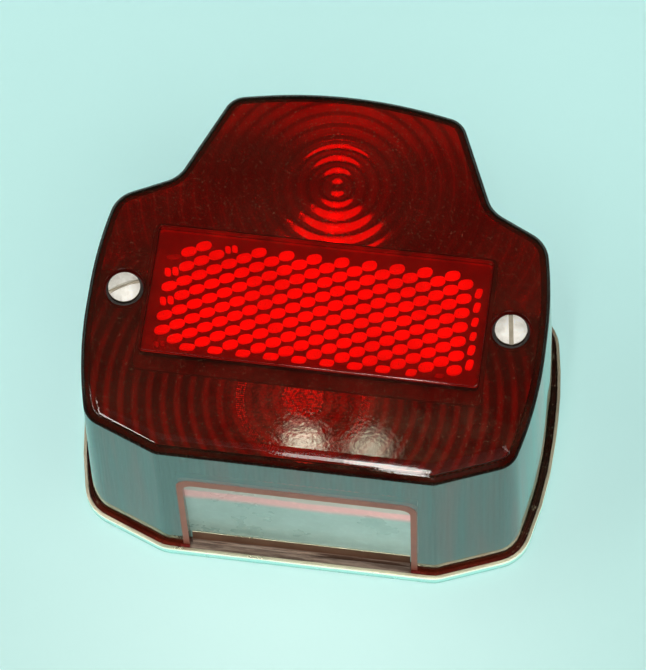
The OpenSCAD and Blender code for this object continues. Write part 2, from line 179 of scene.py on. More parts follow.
# ------------------------------------------------------------------ materials
def film(name, tint, haze=0.022, haze_colour=(0.36, 0.20, 0.11), rough=0.02, ior=1.45, shine=(1.0, 0.985, 0.95), streaks=False):
    """Coloured clear plastic over what lies behind it: tinted, glossy, with dust and fine scratches."""
    m = Mat(name)
    smudge = m.noise(38.0, 5.0, 0.6)
    fine = m.noise(1100.0, 2.0, 0.5)
    specks = m.noise(2300.0, 0.0, 0.4)
    hair = m.noise(190.0, 2.0, 0.7, stretch=(11, 1, 1), offset=(0.3, 0, 0), distort=0.6)
    hair2 = m.noise(170.0, 2.0, 0.7, stretch=(1, 12, 1), offset=(0, 0.7, 0), distort=0.6)
    clear = m.node("ShaderNodeBsdfTransparent", Color=tint)
    gloss = m.node("ShaderNodeBsdfGlossy")
    if streaks:    # the ribs inside the wall show through as faint upright streaks
        rib = m.noise(230.0, 3.0, 0.6, stretch=(1, 1, 0.04))
        wide = m.noise(26.0, 3.0, 0.5, stretch=(1, 1, 0.2), offset=(0.4, 0, 0))
        # the streaks are painted into the colour of the reflection: mint on some, pink on others
        shine = m.mix(m.range(m.math("ADD", rib, m.math("MULTIPLY", wide, 0.8)), 0.72, 1.08), (0.74, 1.0, 0.97), (1.0, 0.92, 0.89))
    m.put(gloss, "Color", shine)
    m.put(gloss, "Roughness", m.math("ADD", m.range(smudge, 0.35, 0.75, rough * 0.8, rough * 2.2), m.range(fine, 0.5, 0.8, 0.0, rough)))
    bump = m.bump(fine, 0.07, 0.00005, m.bump(smudge, 0.07, 0.0004))
    m.put(gloss, "Normal", bump)
    dust = m.node("ShaderNodeBsdfDiffuse")
    m.put(dust, "Color", haze_colour)
    lot = m.range(smudge, 0.40, 0.80, haze * 0.5, haze * 2.0)
    spots = m.range(specks, 0.72, 0.79, 0.0, 0.16)
    lines = m.math("ADD", m.range(hair, 0.70, 0.72, 0.0, 0.07), m.range(hair2, 0.70, 0.72, 0.0, 0.06))
    if name == "red_plastic_outside":    # the lower right of the face takes extra dust, which also paints a sheen there
        xyz = m.node("ShaderNodeSeparateXYZ")
        m.put(xyz, "Vector", m.coords())
        cloud = m.range(m.noise(95.0, 5.0, 0.7, offset=(0.7, 0.1, 0.0)), 0.40, 0.70, 0.0, 1.0)
        low = m.math("MULTIPLY", m.range(xyz.outputs["Y"], -0.019, -0.028, 0.0, 1.0), m.range(xyz.outputs["X"], -0.030, 0.020, 0.25, 1.0))
        lot = m.math("ADD", lot, m.math("MULTIPLY", m.math("MULTIPLY", cloud, low), 0.11))
    if name == "red_plastic_foot":    # brown with dirt along the two sides
        xyz = m.node("ShaderNodeSeparateXYZ")
        m.put(xyz, "Vector", m.coords())
        side = m.range(m.math("ABSOLUTE", xyz.outputs["X"]), 0.054, 0.062, 0.0, 1.0)
        brown = m.mix(m.range(m.noise(760.0, 3.0, 0.7), 0.60, 0.66), (0.060, 0.036, 0.022), (0.52, 0.42, 0.27))
        m.put(dust, "Color", m.mix(side, haze_colour, brown))
    if streaks:    # the foot of the wall carries painted red light, laid in through the dust layer
        xyz = m.node("ShaderNodeSeparateXYZ")
        m.put(xyz, "Vector", m.coords())
        foot = m.range(m.math("ADD", xyz.outputs["Z"], m.range(wide, 0.3, 0.7, -0.001, 0.001)), 0.0035, 0.0085, 1.0, 0.0, "SMOOTHSTEP")
        m.put(dust, "Color", m.mix(foot, haze_colour, (0.30, 0.035, 0.015)))
        lot = m.math("ADD", lot, m.math("MULTIPLY", foot, 0.40))
    amount = m.math("ADD", m.math("ADD", lot, spots), lines)
    body = m.shader_mix(amount, clear.outputs[0], dust.outputs[0])
    f = m.node("ShaderNodeFresnel")
    m.put(f, "IOR", ior)
    m.put(f, "Normal", bump)
    return m.done(m.shader_mix(f.outputs[0], body, gloss.outputs[0]))


def inner_film(name, tint):
    m = Mat(name)
    clear = m.node("ShaderNodeBsdfTransparent", Color=tint)
    return m.done(clear.outputs[0])


def metal(name, colour, rough=0.35, spread=0.12, stain=None, stain_amount=0.3, grain=(1, 1, 1), scale=60.0, bump=0.15, metallic=1.0):
    m = Mat(name)
    p = m.principled(Metallic=metallic)
    big = m.noise(scale, 5.0, 0.6)
    g = m.noise(scale * 14, 3.0, 0.6, stretch=grain)
    c = m.mix(m.range(big, 0.3, 0.7), tuple(x * 0.8 for x in colour), tuple(min(1, x * 1.08) for x in colour))
    if stain:
        c = m.mix(m.range(m.noise(scale * 0.6, 6.0, 0.7, offset=(0.2, 0.5, 0.1)), 0.45, 0.75, 0.0, stain_amount), c, stain)
    m.put(p, "Base Color", c)
    m.put(p, "Roughness", m.range(big, 0.25, 0.8, rough - spread / 2, rough + spread))
    m.put(p, "Normal", m.bump(g, bump, 0.00006))
    return m.done(p.outputs[0])


def solid(name, colour, dark=0.7, rough=0.5, spread=0.15, scale=80.0, bump=0.2, coat=0.0, dist=0.0001):
    m = Mat(name)
    p = m.principled()
    big = m.noise(scale, 5.0, 0.6)
    fine = m.noise(scale * 12, 3.0, 0.6)
    m.put(p, "Base Color", m.mix(m.range(big, 0.3, 0.7), tuple(x * dark for x in colour), colour))
    m.put(p, "Roughness", m.range(big, 0.3, 0.8, rough - spread / 2, rough + spread))
    m.put(p, "Normal", m.bump(fine, bump, dist))
    if coat:
        m.put(p, "Coat Weight", coat)
        m.put(p, "Coat Roughness", 0.08)
    return m.done(p.outputs[0])


M = {}
M["film"] = film("red_plastic_outside", (0.86, 0.05, 0.04))
M["film_wall"] = film("red_plastic_wall", (0.86, 0.05, 0.04), ior=2.20, streaks=True)
M["film_edge"] = film("red_plastic_edge", (0.86, 0.05, 0.04), haze=0.03, ior=1.12)
M["film_in"] = inner_film("red_plastic_inside", (0.95, 0.30, 0.26))
M["cover"] = film("reflex_cover", (0.98, 0.05, 0.035), haze=0.008, rough=0.02, ior=1.5)


STOP, TAIL = (0.45, 37.35), (-0.3, -25.6)      # middles of the two ring patterns
P_UP, P_LOW = 3.62, 3.75                       # their pitches


def prism_material():
    """The moulded back of the red plastic: it throws light back from its facets, and carries a painted red glow with
    painted bright arcs on its rings.
    """
    m = Mat("lens_prisms")
    p = m.principled(Metallic=0.92)
    n1 = m.noise(55.0, 4.0, 0.6)
    n2 = m.noise(900.0, 3.0, 0.6)
    n3 = m.noise(1500.0, 1.0, 0.5)
    m.put(p, "Normal", m.bump(n2, 0.08, 0.00003))
    # painted glow standing in for light inside the moulding, more of it near the top and the middle line, with painted
    # bright arcs on the rings
    c = m.node("ShaderNodeTexCoord")
    xyz = m.node("ShaderNodeSeparateXYZ")
    m.put(xyz, "Vector", c.outputs["Object"])
    x, y = xyz.outputs["X"], xyz.outputs["Y"]

    def radius(centre):
        d = m.node("ShaderNodeVectorMath")
        d.operation = "DISTANCE"
        flat = m.node("ShaderNodeCombineXYZ")
        m.put(flat, "X", x)
        m.put(flat, "Y", y)
        m.t.links.new(flat.outputs[0], d.inputs[0])
        d.inputs[1].default_value = (centre[0] * MM, centre[1] * MM, 0.0)
        return d.outputs["Value"]

    def rings(r, pitch, phase, dark, a, b):
        """1 on the broad part of each ring, dark in the groove between two."""
        t = m.math("FRACT", m.math("ADD", m.math("DIVIDE", r, pitch * MM), phase))
        g = m.math("ABSOLUTE", m.math("SUBTRACT", t, 0.5))
        return m.range(g, a, b, dark, 1.0, "SMOOTHSTEP")

    r_up, r_low = radius(STOP), radius(TAIL)
    upper = m.range(y, 0.004, 0.016, 0.0, 1.0)
    m.put(p, "Base Color", m.mix(upper, (0.055, 0.0015, 0.001), m.mix(m.range(n1, 0.3, 0.7), (0.66, 0.003, 0.0015), (0.86, 0.005, 0.002))))
    m.put(p, "Roughness", m.math("ADD", m.range(n2, 0.2, 0.8, 0.07, 0.12), m.range(upper, 0.0, 1.0, 0.20, 0.0)))
    wave_up = rings(r_up, P_UP, 0.27, 0.34, 0.06, 0.30)
    wave_low = rings(r_low, P_LOW, 0.10, 0.04, 0.16, 0.44)
    top = m.range(y, 0.046, 0.061, 0.0, 0.15, "SMOOTHSTEP")
    middle = m.range(m.math("ABSOLUTE", m.math("SUBTRACT", x, 0.0015)), 0.004, 0.019, 0.060, 0.0, "SMOOTHSTEP")
    glow_up = m.math("MULTIPLY", m.math("ADD", m.math("ADD", top, middle), 0.012), wave_up)
    # painted highlights along the ring crests, in patches
    crest = m.math("MULTIPLY", rings(r_up, P_UP, 0.27, 0.0, 0.40, 0.47), m.range(n1, 0.30, 0.65, 0.004, 0.038))
    crest2 = m.math("MULTIPLY", rings(r_up, P_UP, 0.02, 0.0, 0.44, 0.48), m.range(m.noise(80.0, 3.0, 0.6, offset=(0.3, 0.1, 0.0)), 0.40, 0.65, 0.0, 0.022))
    glow_up = m.math("ADD", glow_up, m.math("ADD", crest, crest2))
    sides = m.range(y, 0.006, -0.022, 0.012, 0.075, "SMOOTHSTEP")
    glow_low = m.math("ADD", m.math("MULTIPLY", sides, wave_low), 0.016)
    near = m.range(r_low, 0.006, 0.032, 0.095, 0.0, "SMOOTHSTEP")
    glow_low = m.math("ADD", glow_low, m.math("MULTIPLY", near, m.range(n3, 0.35, 0.65, 0.35, 1.6)))
    glow = m.math("ADD", m.math("MULTIPLY", upper, glow_up), m.math("MULTIPLY", m.math("SUBTRACT", 1.0, upper), glow_low))
    glow = m.math("MULTIPLY", glow, m.range(n1, 0.25, 0.75, 0.48, 1.45))
    m.put(p, "Emission Color", (1.0, 0.003, 0.0))
    m.put(p, "Emission Strength", glow)
    return m.done(p.outputs[0])


def stipple_material():
    m = Mat("lens_stipple")
    p = m.principled(Metallic=0.6)
    n3 = m.noise(1300.0, 1.0, 0.5)
    n1 = m.noise(120.0, 3.0, 0.6)
    m.put(p, "Base Color", (0.20, 0.002, 0.004))
    c = m.node("ShaderNodeTexCoord")
    xyz = m.node("ShaderNodeSeparateXYZ")
    m.put(xyz, "Vector", c.outputs["Object"])
    y = xyz.outputs["Y"]
    m.put(p, "Roughness", m.range(n3, 0.3, 0.7, 0.35, 0.5))
    # painted red glow of the stipple, stronger towards the upper rings
    m.put(p, "Emission Color", (1.0, 0.001, 0.004))
    m.put(p, "Emission Strength", m.math("MULTIPLY", m.range(n3, 0.40, 0.62, 0.06, 0.85), m.math("MULTIPLY", m.range(n1, 0.3, 0.7, 0.6, 1.2), m.range(y, -0.038, -0.022, 0.45, 1.15))))
    m.put(p, "Normal", m.bump(n3, 0.2, 0.00005))
    return m.done(p.outputs[0])


def dark_moulding(name, colour, dark, rough=0.4, glow=0.0):
    m = Mat(name)
    p = m.principled()
    n1 = m.noise(70.0, 4.0, 0.6)
    m.put(p, "Base Color", m.mix(m.range(n1, 0.3, 0.7), dark, colour))
    m.put(p, "Roughness", m.range(n1, 0.3, 0.8, rough, rough + 0.15))
    m.put(p, "Specular IOR Level", 0.2)
    m.put(p, "Normal", m.bump(n1, 0.1, 0.0001))
    # glow paints a red emission into the moulding
    if glow:
        m.put(p, "Emission Color", (1.0, 0.012, 0.004))
        m.put(p, "Emission Strength", m.range(m.noise(160.0, 4.0, 0.6), 0.35, 0.7, 0.3 * glow, 1.3 * glow))
    return m.done(p.outputs[0])


M["prism"] = prism_material()
M["wall_in"] = dark_moulding("lens_wall_inside", (0.060, 0.006, 0.005), (0.030, 0.004, 0.003))
M["stipple"] = stipple_material()
M["seat"] = dark_moulding("reflex_seat", (0.11, 0.006, 0.004), (0.06, 0.003, 0.002), 0.55)
# painted light along the top edge of the reflex plate: a lighter red with a painted glow
M["edge_light"] = dark_moulding("reflex_edge_light", (0.25, 0.006, 0.003), (0.12, 0.003, 0.002), 0.5, 0.16)
# painted glow in the shade under the reflex plate
M["frame_back"] = dark_moulding("reflex_frame_back", (0.05, 0.004, 0.003), (0.03, 0.002, 0.002), 0.5, 0.048)
# painted glow in the shade of the screw recesses
M["recess"] = dark_moulding("screw_recess", (0.10, 0.012, 0.006), (0.06, 0.006, 0.003), 0.5, 0.035)
M["foot"] = film("red_plastic_foot", (0.80, 0.10, 0.07), haze=0.45, haze_colour=(0.34, 0.036, 0.014), rough=0.25, ior=1.12)
# painted highlight line round the side of the reflex cover: bright red with a painted glow
M["edge_line"] = dark_moulding("reflex_edge_line", (0.55, 0.02, 0.006), (0.18, 0.004, 0.002), 0.5, 0.25)


def lobe_material():
    m = Mat("reflex_cells_bright")
    p = m.principled()
    n1 = m.noise(60.0, 3.0, 0.5)
    n2 = m.noise(800.0, 2.0, 0.5)
    m.put(p, "Base Color", m.mix(m.range(n1, 0.3, 0.7), (0.66, 0.0, 0.001), (0.80, 0.001, 0.004)))
    m.put(p, "Roughness", m.range(n2, 0.3, 0.7, 0.35, 0.55))
    m.put(p, "Normal", m.bump(n2, 0.1, 0.00005))
    # painted red glow of the reflex cells
    m.put(p, "Emission Color", (1.0, 0.0, 0.003))
    m.put(p, "Emission Strength", m.range(n1, 0.3, 0.7, 0.36, 0.54))
    return m.done(p.outputs[0])


M["lobe"] = lobe_material()
# cells that lack the painted glow
M["lobe_dim"] = dark_moulding("reflex_cells_without_glow", (0.50, 0.004, 0.006), (0.18, 0.002, 0.003), 0.4)
# painted glow between the cells
M["lobe_base"] = dark_moulding("reflex_cells_dark", (0.21, 0.006, 0.005), (0.13, 0.003, 0.003), 0.45, 0.04)
M["flange_end"] = dark_moulding("lens_foot_end", (0.24, 0.016, 0.012), (0.13, 0.008, 0.006), 0.6)
# a faint painted glow in the edge band round the window
M["salmon"] = dark_moulding("window_edge", (0.52, 0.20, 0.145), (0.40, 0.14, 0.10), 0.42, 0.02)
M["gap"] = solid("window_edge_shadow", (0.085, 0.07, 0.045), 0.7, 0.6)


def seal_material():
    m = Mat("seal_aged")
    p = m.principled()
    c = m.node("ShaderNodeTexCoord")
    xyz = m.node("ShaderNodeSeparateXYZ")
    m.put(xyz, "Vector", c.outputs["Object"])
    streak = m.noise(60.0, 5.0, 0.7, stretch=(1, 11, 11), distort=0.3)
    big = m.noise(130.0, 5.0, 0.6)
    open_part = m.math("MULTIPLY", m.range(m.math("ABSOLUTE", xyz.outputs["X"]), 0.0300, 0.0312, 1.0, 0.0), m.range(xyz.outputs["Y"], -0.040, -0.043, 0.0, 1.0))
    dusty = m.mix(m.range(streak, 0.42, 0.58), (0.15, 0.100, 0.073), (0.40, 0.30, 0.235))
    dark = m.mix(m.range(big, 0.3, 0.7), (0.07, 0.026, 0.017), (0.13, 0.052, 0.034))
    m.put(p, "Base Color", m.mix(open_part, dark, dusty))
    m.put(p, "Roughness", m.range(big, 0.3, 0.8, 0.68, 0.9))
    m.put(p, "Normal", m.bump(m.noise(1500.0, 3.0, 0.6), 0.4, 0.0001))
    return m.done(p.outputs[0])


M["gasket"] = seal_material()
M["plated"] = metal("yellow_zinc", (0.84, 0.76, 0.56), 0.30, 0.15, stain=(0.45, 0.34, 0.20), stain_amount=0.35, scale=45.0)


def worn_base_and_sheen():
    """Old zinc inside the rim: brown on the upright; along the trough, streaks of grime and rust, with pale streaks
    that paint a metal sheen.
    """
    m = Mat("yellow_zinc_worn_and_sheen")
    p = m.principled(Metallic=0.08)
    c = m.node("ShaderNodeTexCoord")
    xyz = m.node("ShaderNodeSeparateXYZ")
    m.put(xyz, "Vector", c.outputs["Object"])
    z = xyz.outputs["Z"]
    streak = m.noise(52.0, 5.0, 0.7, stretch=(1, 14, 14), distort=0.4)
    patch = m.noise(75.0, 4.0, 0.6, offset=(0.1, 0.3, 0.0))
    # the pale streaks paint a metal sheen onto the near-matte trough
    trough = m.mix(m.range(streak, 0.42, 0.58), (0.20, 0.115, 0.08), (1.0, 0.79, 0.65))
    trough = m.mix(m.range(m.math("ADD", streak, m.math("MULTIPLY", patch, 0.4)), 0.76, 0.88, 0.0, 0.9), trough, (0.95, 0.86, 0.76))
    upright = m.mix(m.range(patch, 0.3, 0.7), (0.17, 0.072, 0.040), (0.33, 0.16, 0.098))
    m.put(p, "Base Color", m.mix(m.range(z, 0.0030, 0.0038), trough, upright))
    m.put(p, "Roughness", m.range(patch, 0.3, 0.7, 0.55, 0.75))
    m.put(p, "Specular IOR Level", 0.25)
    m.put(p, "Normal", m.bump(streak, 0.35, 0.0001))
    return m.done(p.outputs[0])


def rim_material():
    """The rolled outer edge of the rim: a painted bright line with a painted glow along the top; below it a painted
    teal reflection of the floor, darkening to a painted contact shadow at the foot.
    """
    m = Mat("zinc_rim_side")
    p = m.principled(Metallic=0.75)
    c = m.node("ShaderNodeTexCoord")
    xyz = m.node("ShaderNodeSeparateXYZ")
    m.put(xyz, "Vector", c.outputs["Object"])
    big = m.noise(45.0, 5.0, 0.6)
    z = m.math("ADD", xyz.outputs["Z"], m.range(big, 0.3, 0.7, -0.0002, 0.0002))
    f = m.range(z, 0.0022, 0.0029, 0.0, 1.0, "SMOOTHSTEP")
    # painted teal reflection of the floor on the side below the bright line
    low = m.mix(m.range(big, 0.35, 0.7, 0.0, 0.25), (0.36, 0.72, 0.65), (0.36, 0.44, 0.37))
    m.put(p, "Base Color", m.mix(f, low, (0.92, 0.84, 0.66)))
    m.put(p, "Roughness", m.range(big, 0.25, 0.8, 0.2, 0.34))
    m.put(p, "Emission Color", m.mix(f, (0.56, 0.92, 0.86), (1.0, 0.92, 0.72)))
    # painted glow: teal on the side, none at the very foot for a painted contact shadow, cream along the top
    side = m.math("MULTIPLY", m.math("SUBTRACT", 1.0, f), m.range(z, 0.0003, 0.0012, 0.0, 0.26))
    m.put(p, "Emission Strength", m.math("ADD", side, m.math("MULTIPLY", f, m.range(big, 0.3, 0.7, 0.36, 0.58))))
    return m.done(p.outputs[0])


M["plated_worn"] = worn_base_and_sheen()
M["rim_side"] = rim_material()
M["bright"] = metal("bright_plate", (0.86, 0.87, 0.88), 0.22, 0.12, scale=30.0, grain=(1, 12, 1))
M["tinned"] = metal("tinned_steel", (0.74, 0.74, 0.72), 0.30, 0.15, stain=(0.35, 0.30, 0.25), stain_amount=0.35)


def screw_material():
    """Dull zinc with dark spots on top of the head; painted shade darkens it down its side and in the slot, and a
    painted glow lights the top.
    """
    m = Mat("screw_zinc")
    p = m.principled(Metallic=0.3)
    big = m.noise(330.0, 5.0, 0.6)
    spots = m.noise(210.0, 6.0, 0.7, offset=(0.2, 0.5, 0.1))
    c = m.node("ShaderNodeTexCoord")
    xyz = m.node("ShaderNodeSeparateXYZ")
    m.put(xyz, "Vector", c.outputs["Object"])
    z = xyz.outputs["Z"]
    top = m.mix(m.range(big, 0.3, 0.7), (0.82, 0.80, 0.72), (1.0, 0.98, 0.93))
    top = m.mix(m.range(spots, 0.46, 0.74, 0.0, 0.5), top, (0.46, 0.41, 0.31))
    # darker down the side, under the head and in the slot: painted shade
    side = m.mix(m.range(z, 0.06155, 0.06195), m.mix(m.range(big, 0.3, 0.7), (0.52, 0.48, 0.38), (0.70, 0.67, 0.58)), (0.045, 0.030, 0.022))
    painted_shade_below_top = m.mix(m.range(z, 0.06296, 0.06306), side, m.mix(m.range(big, 0.3, 0.7), (0.36, 0.31, 0.23), (0.54, 0.49, 0.39)))
    m.put(p, "Base Color", m.mix(m.range(z, 0.06335, 0.06355), painted_shade_below_top, top))
    m.put(p, "Roughness", m.range(big, 0.25, 0.8, 0.50, 0.70))
    # painted glow on the top of the head
    m.put(p, "Emission Color", (1.0, 0.98, 0.92))
    m.put(p, "Emission Strength", m.math("MULTIPLY", m.range(z, 0.06335, 0.06355), m.range(big, 0.3, 0.7, 0.02, 0.16)))
    m.put(p, "Normal", m.bump(m.noise(4600.0, 3.0, 0.6), 0.5, 0.00006))
    return m.done(p.outputs[0])


M["screw"] = screw_material()
M["wire"] = metal("drawn_wire", (0.62, 0.62, 0.63), 0.3, 0.1, scale=120.0)
M["solder"] = metal("solder", (0.62, 0.62, 0.60), 0.45, 0.15, scale=260.0, bump=0.3)
M["brass"] = metal("brass", (0.80, 0.60, 0.28), 0.30, 0.15, stain=(0.30, 0.18, 0.08), stain_amount=0.45, scale=70.0)
M["rubber"] = solid("rubber", (0.045, 0.035, 0.030), 0.6, 0.65, 0.15, 110.0, 0.35)
M["laminate"] = solid("laminate", (0.33, 0.17, 0.07), 0.65, 0.5, 0.15, 160.0, 0.3)
M["black"] = solid("black_insulator", (0.02, 0.02, 0.022), 0.7, 0.18, 0.1, 150.0, 0.1)
M["backing"] = solid("backing_red", (0.16, 0.015, 0.012), 0.7, 0.35, 0.15, 60.0, 0.15)


def glass_material(name, tint, rough=0.02):
    m = Mat(name)
    clear = m.node("ShaderNodeBsdfTransparent", Color=tint)
    gloss = m.node("ShaderNodeBsdfGlossy")
    n1 = m.noise(45.0, 3.0, 0.5)
    m.put(gloss, "Color", (1, 1, 1))
    m.put(gloss, "Roughness", m.range(n1, 0.3, 0.8, rough, rough * 4))
    haze = m.node("ShaderNodeBsdfDiffuse")
    m.put(haze, "Color", (0.75, 0.80, 0.78))
    body = m.shader_mix(m.range(n1, 0.4, 0.9, 0.02, 0.10), clear.outputs[0], haze.outputs[0])
    f = m.node("ShaderNodeFresnel")
    m.put(f, "IOR", 1.5)
    return m.done(m.shader_mix(f.outputs[0], body, gloss.outputs[0]))


M["bulb_glass"] = glass_material("bulb_glass", (0.97, 0.98, 0.98))


def pane_material():
    """Clear plastic, a little clouded, showing a painted glow: painted red light from the lens in a band near its upper
    edge, brighter to the right.
    """
    m = Mat("window_plastic")
    c = m.node("ShaderNodeTexCoord")
    xyz = m.node("ShaderNodeSeparateXYZ")
    m.put(xyz, "Vector", c.outputs["Object"])
    n1 = m.noise(48.0, 4.0, 0.6)
    n2 = m.noise(1300.0, 2.0, 0.5)
    n3 = m.noise(420.0, 3.0, 0.6)
    z = m.math("ADD", xyz.outputs["Z"], m.range(n1, 0.3, 0.7, -0.0006, 0.0006))
    pink = m.math("MULTIPLY", m.range(z, 0.0300, 0.0336, 0.0, 1.0, "SMOOTHSTEP"), m.range(z, 0.0358, 0.0376, 1.0, 0.0, "SMOOTHSTEP"))
    upper = m.range(z, 0.0360, 0.0376, 0.0, 1.0, "SMOOTHSTEP")
    low = m.mix(m.range(n1, 0.3, 0.75), (0.29, 0.45, 0.38), (0.42, 0.59, 0.52))
    colour = m.mix(pink, m.mix(upper, low, (0.58, 0.52, 0.42)), (1.0, 0.47, 0.43))
    clear = m.node("ShaderNodeBsdfTransparent", Color=(0.80, 0.90, 0.86))
    haze = m.node("ShaderNodeBsdfDiffuse")
    glow = m.node("ShaderNodeEmission")
    # inside the opening the pane shows the painted glow; elsewhere it is dark
    lit = m.math("MULTIPLY", m.range(xyz.outputs["Z"], 0.0424, 0.0428, 1.0, 0.0), m.range(m.math("ABSOLUTE", xyz.outputs["X"]), 0.0308, 0.0311, 1.0, 0.0))
    m.put(haze, "Color", m.mix(lit, (0.03, 0.012, 0.009), colour))
    m.put(glow, "Color", m.mix(lit, (0.0, 0.0, 0.0), colour))
    m.put(glow, "Strength", m.math("ADD", m.range(xyz.outputs["X"], -0.030, 0.032, 0.62, 1.08), m.range(n3, 0.5, 0.8, 0.0, 0.25)))
    back = m.shader_mix(0.6, haze.outputs[0], glow.outputs[0])
    body = m.shader_mix(m.range(n1, 0.3, 0.7, 0.86, 0.94), clear.outputs[0], back)
    gloss = m.node("ShaderNodeBsdfGlossy")
    m.put(gloss, "Color", (1, 1, 1))
    m.put(gloss, "Roughness", m.range(n1, 0.3, 0.8, 0.24, 0.36))
    bump = m.bump(n2, 0.25, 0.00005)
    m.put(gloss, "Normal", bump)
    f = m.node("ShaderNodeFresnel")
    m.put(f, "IOR", 1.6)
    m.put(f, "Normal", bump)
    return m.done(m.shader_mix(f.outputs[0], body, gloss.outputs[0]))


M["pane"] = pane_material()

# ------------------------------------------------------------------ outline of the lamp
HALF = [(12, 65.1, 125), (31.8, 61.3, 6.5), (42.9, 35.4, 9), (58.7, 27.7, 9),
        (61.75, 11.98, 115), (61.75, -19.31, 115), (57, -37.85, 7), (37, -45.8, 5)]
CORNERS = [(-x, y, r) for x, y, r in HALF] + [(x, y, r) for x, y, r in reversed(HALF)]


def outline_points(step=1.2):
    """Points and outward normals along the face outline, counter-clockwise, in millimetres."""
    raw = []
    n = len(CORNERS)
    for i in range(n):
        a, v, b = (Vector(CORNERS[(i + k) % n][:2]) for k in (-1, 0, 1))
        r = CORNERS[i][2]
        u, w = (a - v).normalized(), (b - v).normalized()
        half = math.acos(max(-1, min(1, u.dot(w)))) / 2
        m = v + (u + w).normalized() * r / math.sin(half)
        p, q = v + u * (r / math.tan(half)), v + w * (r / math.tan(half))
        a0 = math.atan2(p.y - m.y, p.x - m.x)
        d = (math.atan2(q.y - m.y, q.x - m.x) - a0 + 3 * math.pi) % (2 * math.pi) - math.pi
        convex = d > 0
        k = max(8, int(abs(d) * r / step))
        for j in range(k + 1):
            t = a0 + d * j / k
            nrm = Vector((math.cos(t), math.sin(t))) * (1 if convex else -1)
            raw.append((m + Vector((math.cos(t), math.sin(t))) * r, nrm))
    pts = []
    for i, (p, nrm) in enumerate(raw):
        q = raw[i - 1][0]
        gap = (p - q).length
        if gap < 0.05:
            continue
        if gap > 2.2 * step:  # a straight stretch between two corners
            k = int(gap / step)
            for j in range(1, k):
                pts.append((q.lerp(p, j / k), (raw[i - 1][1] + nrm).normalized()))
        pts.append((p, nrm))
    return pts


OUT = outline_points()
OUT_FINE = outline_points(0.33)


def ring(d, z, pts=None):
    return [Vector((p.x + n.x * d, p.y + n.y * d, z)) for p, n in (pts or OUT)]


# ------------------------------------------------------------------ mesh helpers
def new_object(name, verts, faces, body, mats, index=None, smooth=35.0):
    me = bpy.data.meshes.new(name)
    me.from_pydata([tuple(c * MM for c in v) for v in verts], [], faces)
    me.validate(clean_customdata=False)
    for m in mats:
        me.materials.append(m)
    if index is not None and len(index) == len(me.polygons):
        me.polygons.foreach_set("material_index", index)
    me.update()
    o = bpy.data.objects.new(name, me)
    scene.collection.objects.link(o)
    shade(o, smooth)
    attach(o, body)
    return o


def shade(o, angle=35.0):
    me = o.data
    me.polygons.foreach_set("use_smooth", [True] * len(me.polygons))
    me.set_sharp_from_angle(angle=math.radians(angle))
    me.update()


def apply_modifiers(o):
    bpy.context.view_layer.update()
    dg = bpy.context.evaluated_depsgraph_get()
    me = bpy.data.meshes.new_from_object(o.evaluated_get(dg), preserve_all_data_layers=True, depsgraph=dg)
    old = o.data
    o.modifiers.clear()
    o.data = me
    me.name = old.name
    bpy.data.meshes.remove(old)
    return o


def weighted(o):
    m = o.modifiers.new("wn", "WEIGHTED_NORMAL")
    m.keep_sharp = True
    m.weight = 80
    return apply_modifiers(o)


def loft(rings, closed_ends=(False, False), loop=False):
    """Quads between rings of equal length. With loop, the last ring joins the first."""
    n = len(rings[0])
    verts = [v for r in rings for v in r]
    faces = []
    last = len(rings) if loop else len(rings) - 1
    for k in range(last):
        a, b = k * n, ((k + 1) % len(rings)) * n
        for i in range(n):
            j = (i + 1) % n
            faces.append((a + i, a + j, b + j, b + i))
    return verts, faces


def lathe(profile, centre=(0, 0), seg=64, close=True):
    """A turned solid from (r, z) points that run counter-clockwise round the section; r may be 0 at its ends."""
    verts, faces, rows = [], [], []
    for r, z in profile:
        if r < 1e-6:
            rows.append([len(verts)] * seg)
            verts.append((centre[0], centre[1], z))
        else:
            rows.append(list(range(len(verts), len(verts) + seg)))
            verts += [(centre[0] + r * math.cos(2 * math.pi * i / seg), centre[1] + r * math.sin(2 * math.pi * i / seg), z) for i in range(seg)]
    pairs = list(zip(rows, rows[1:])) + ([(rows[-1], rows[0])] if close else [])
    for a, b in pairs:
        if a[0] == a[1] and b[0] == b[1]:
            continue
        for i in range(seg):
            j = (i + 1) % seg
            f = [a[i], a[j], b[j], b[i]]
            f = [v for k, v in enumerate(f) if v not in f[:k]]
            if len(f) > 2:
                faces.append(tuple(f))
    return verts, faces


def arc(cx, cz, r, a0, a1, n):
    return [(cx + r * math.cos(math.radians(a0 + (a1 - a0) * i / n)), cz + r * math.sin(math.radians(a0 + (a1 - a0) * i / n))) for i in range(n + 1)]


def round_rect(cx, cy, w, h, r, n=6):
    pts = []
    for sx, sy, a in ((1, 1, 0), (-1, 1, 90), (-1, -1, 180), (1, -1, 270)):
        for i in range(n + 1):
            t = math.radians(a + 90 * i / n)
            pts.append((cx + sx * (w / 2 - r) + r * math.cos(t), cy + sy * (h / 2 - r) + r * math.sin(t)))
    return pts


def circle(cx, cy, r, n=48):
    return [(cx + r * math.cos(2 * math.pi * i / n), cy + r * math.sin(2 * math.pi * i / n)) for i in range(n)]


def inside(p, poly):
    x, y = p
    c = False
    for (x0, y0), (x1, y1) in zip(poly, poly[1:] + poly[:1]):
        if (y0 > y) != (y1 > y) and x < (x1 - x0) * (y - y0) / (y1 - y0) + x0:
            c = not c
    return c


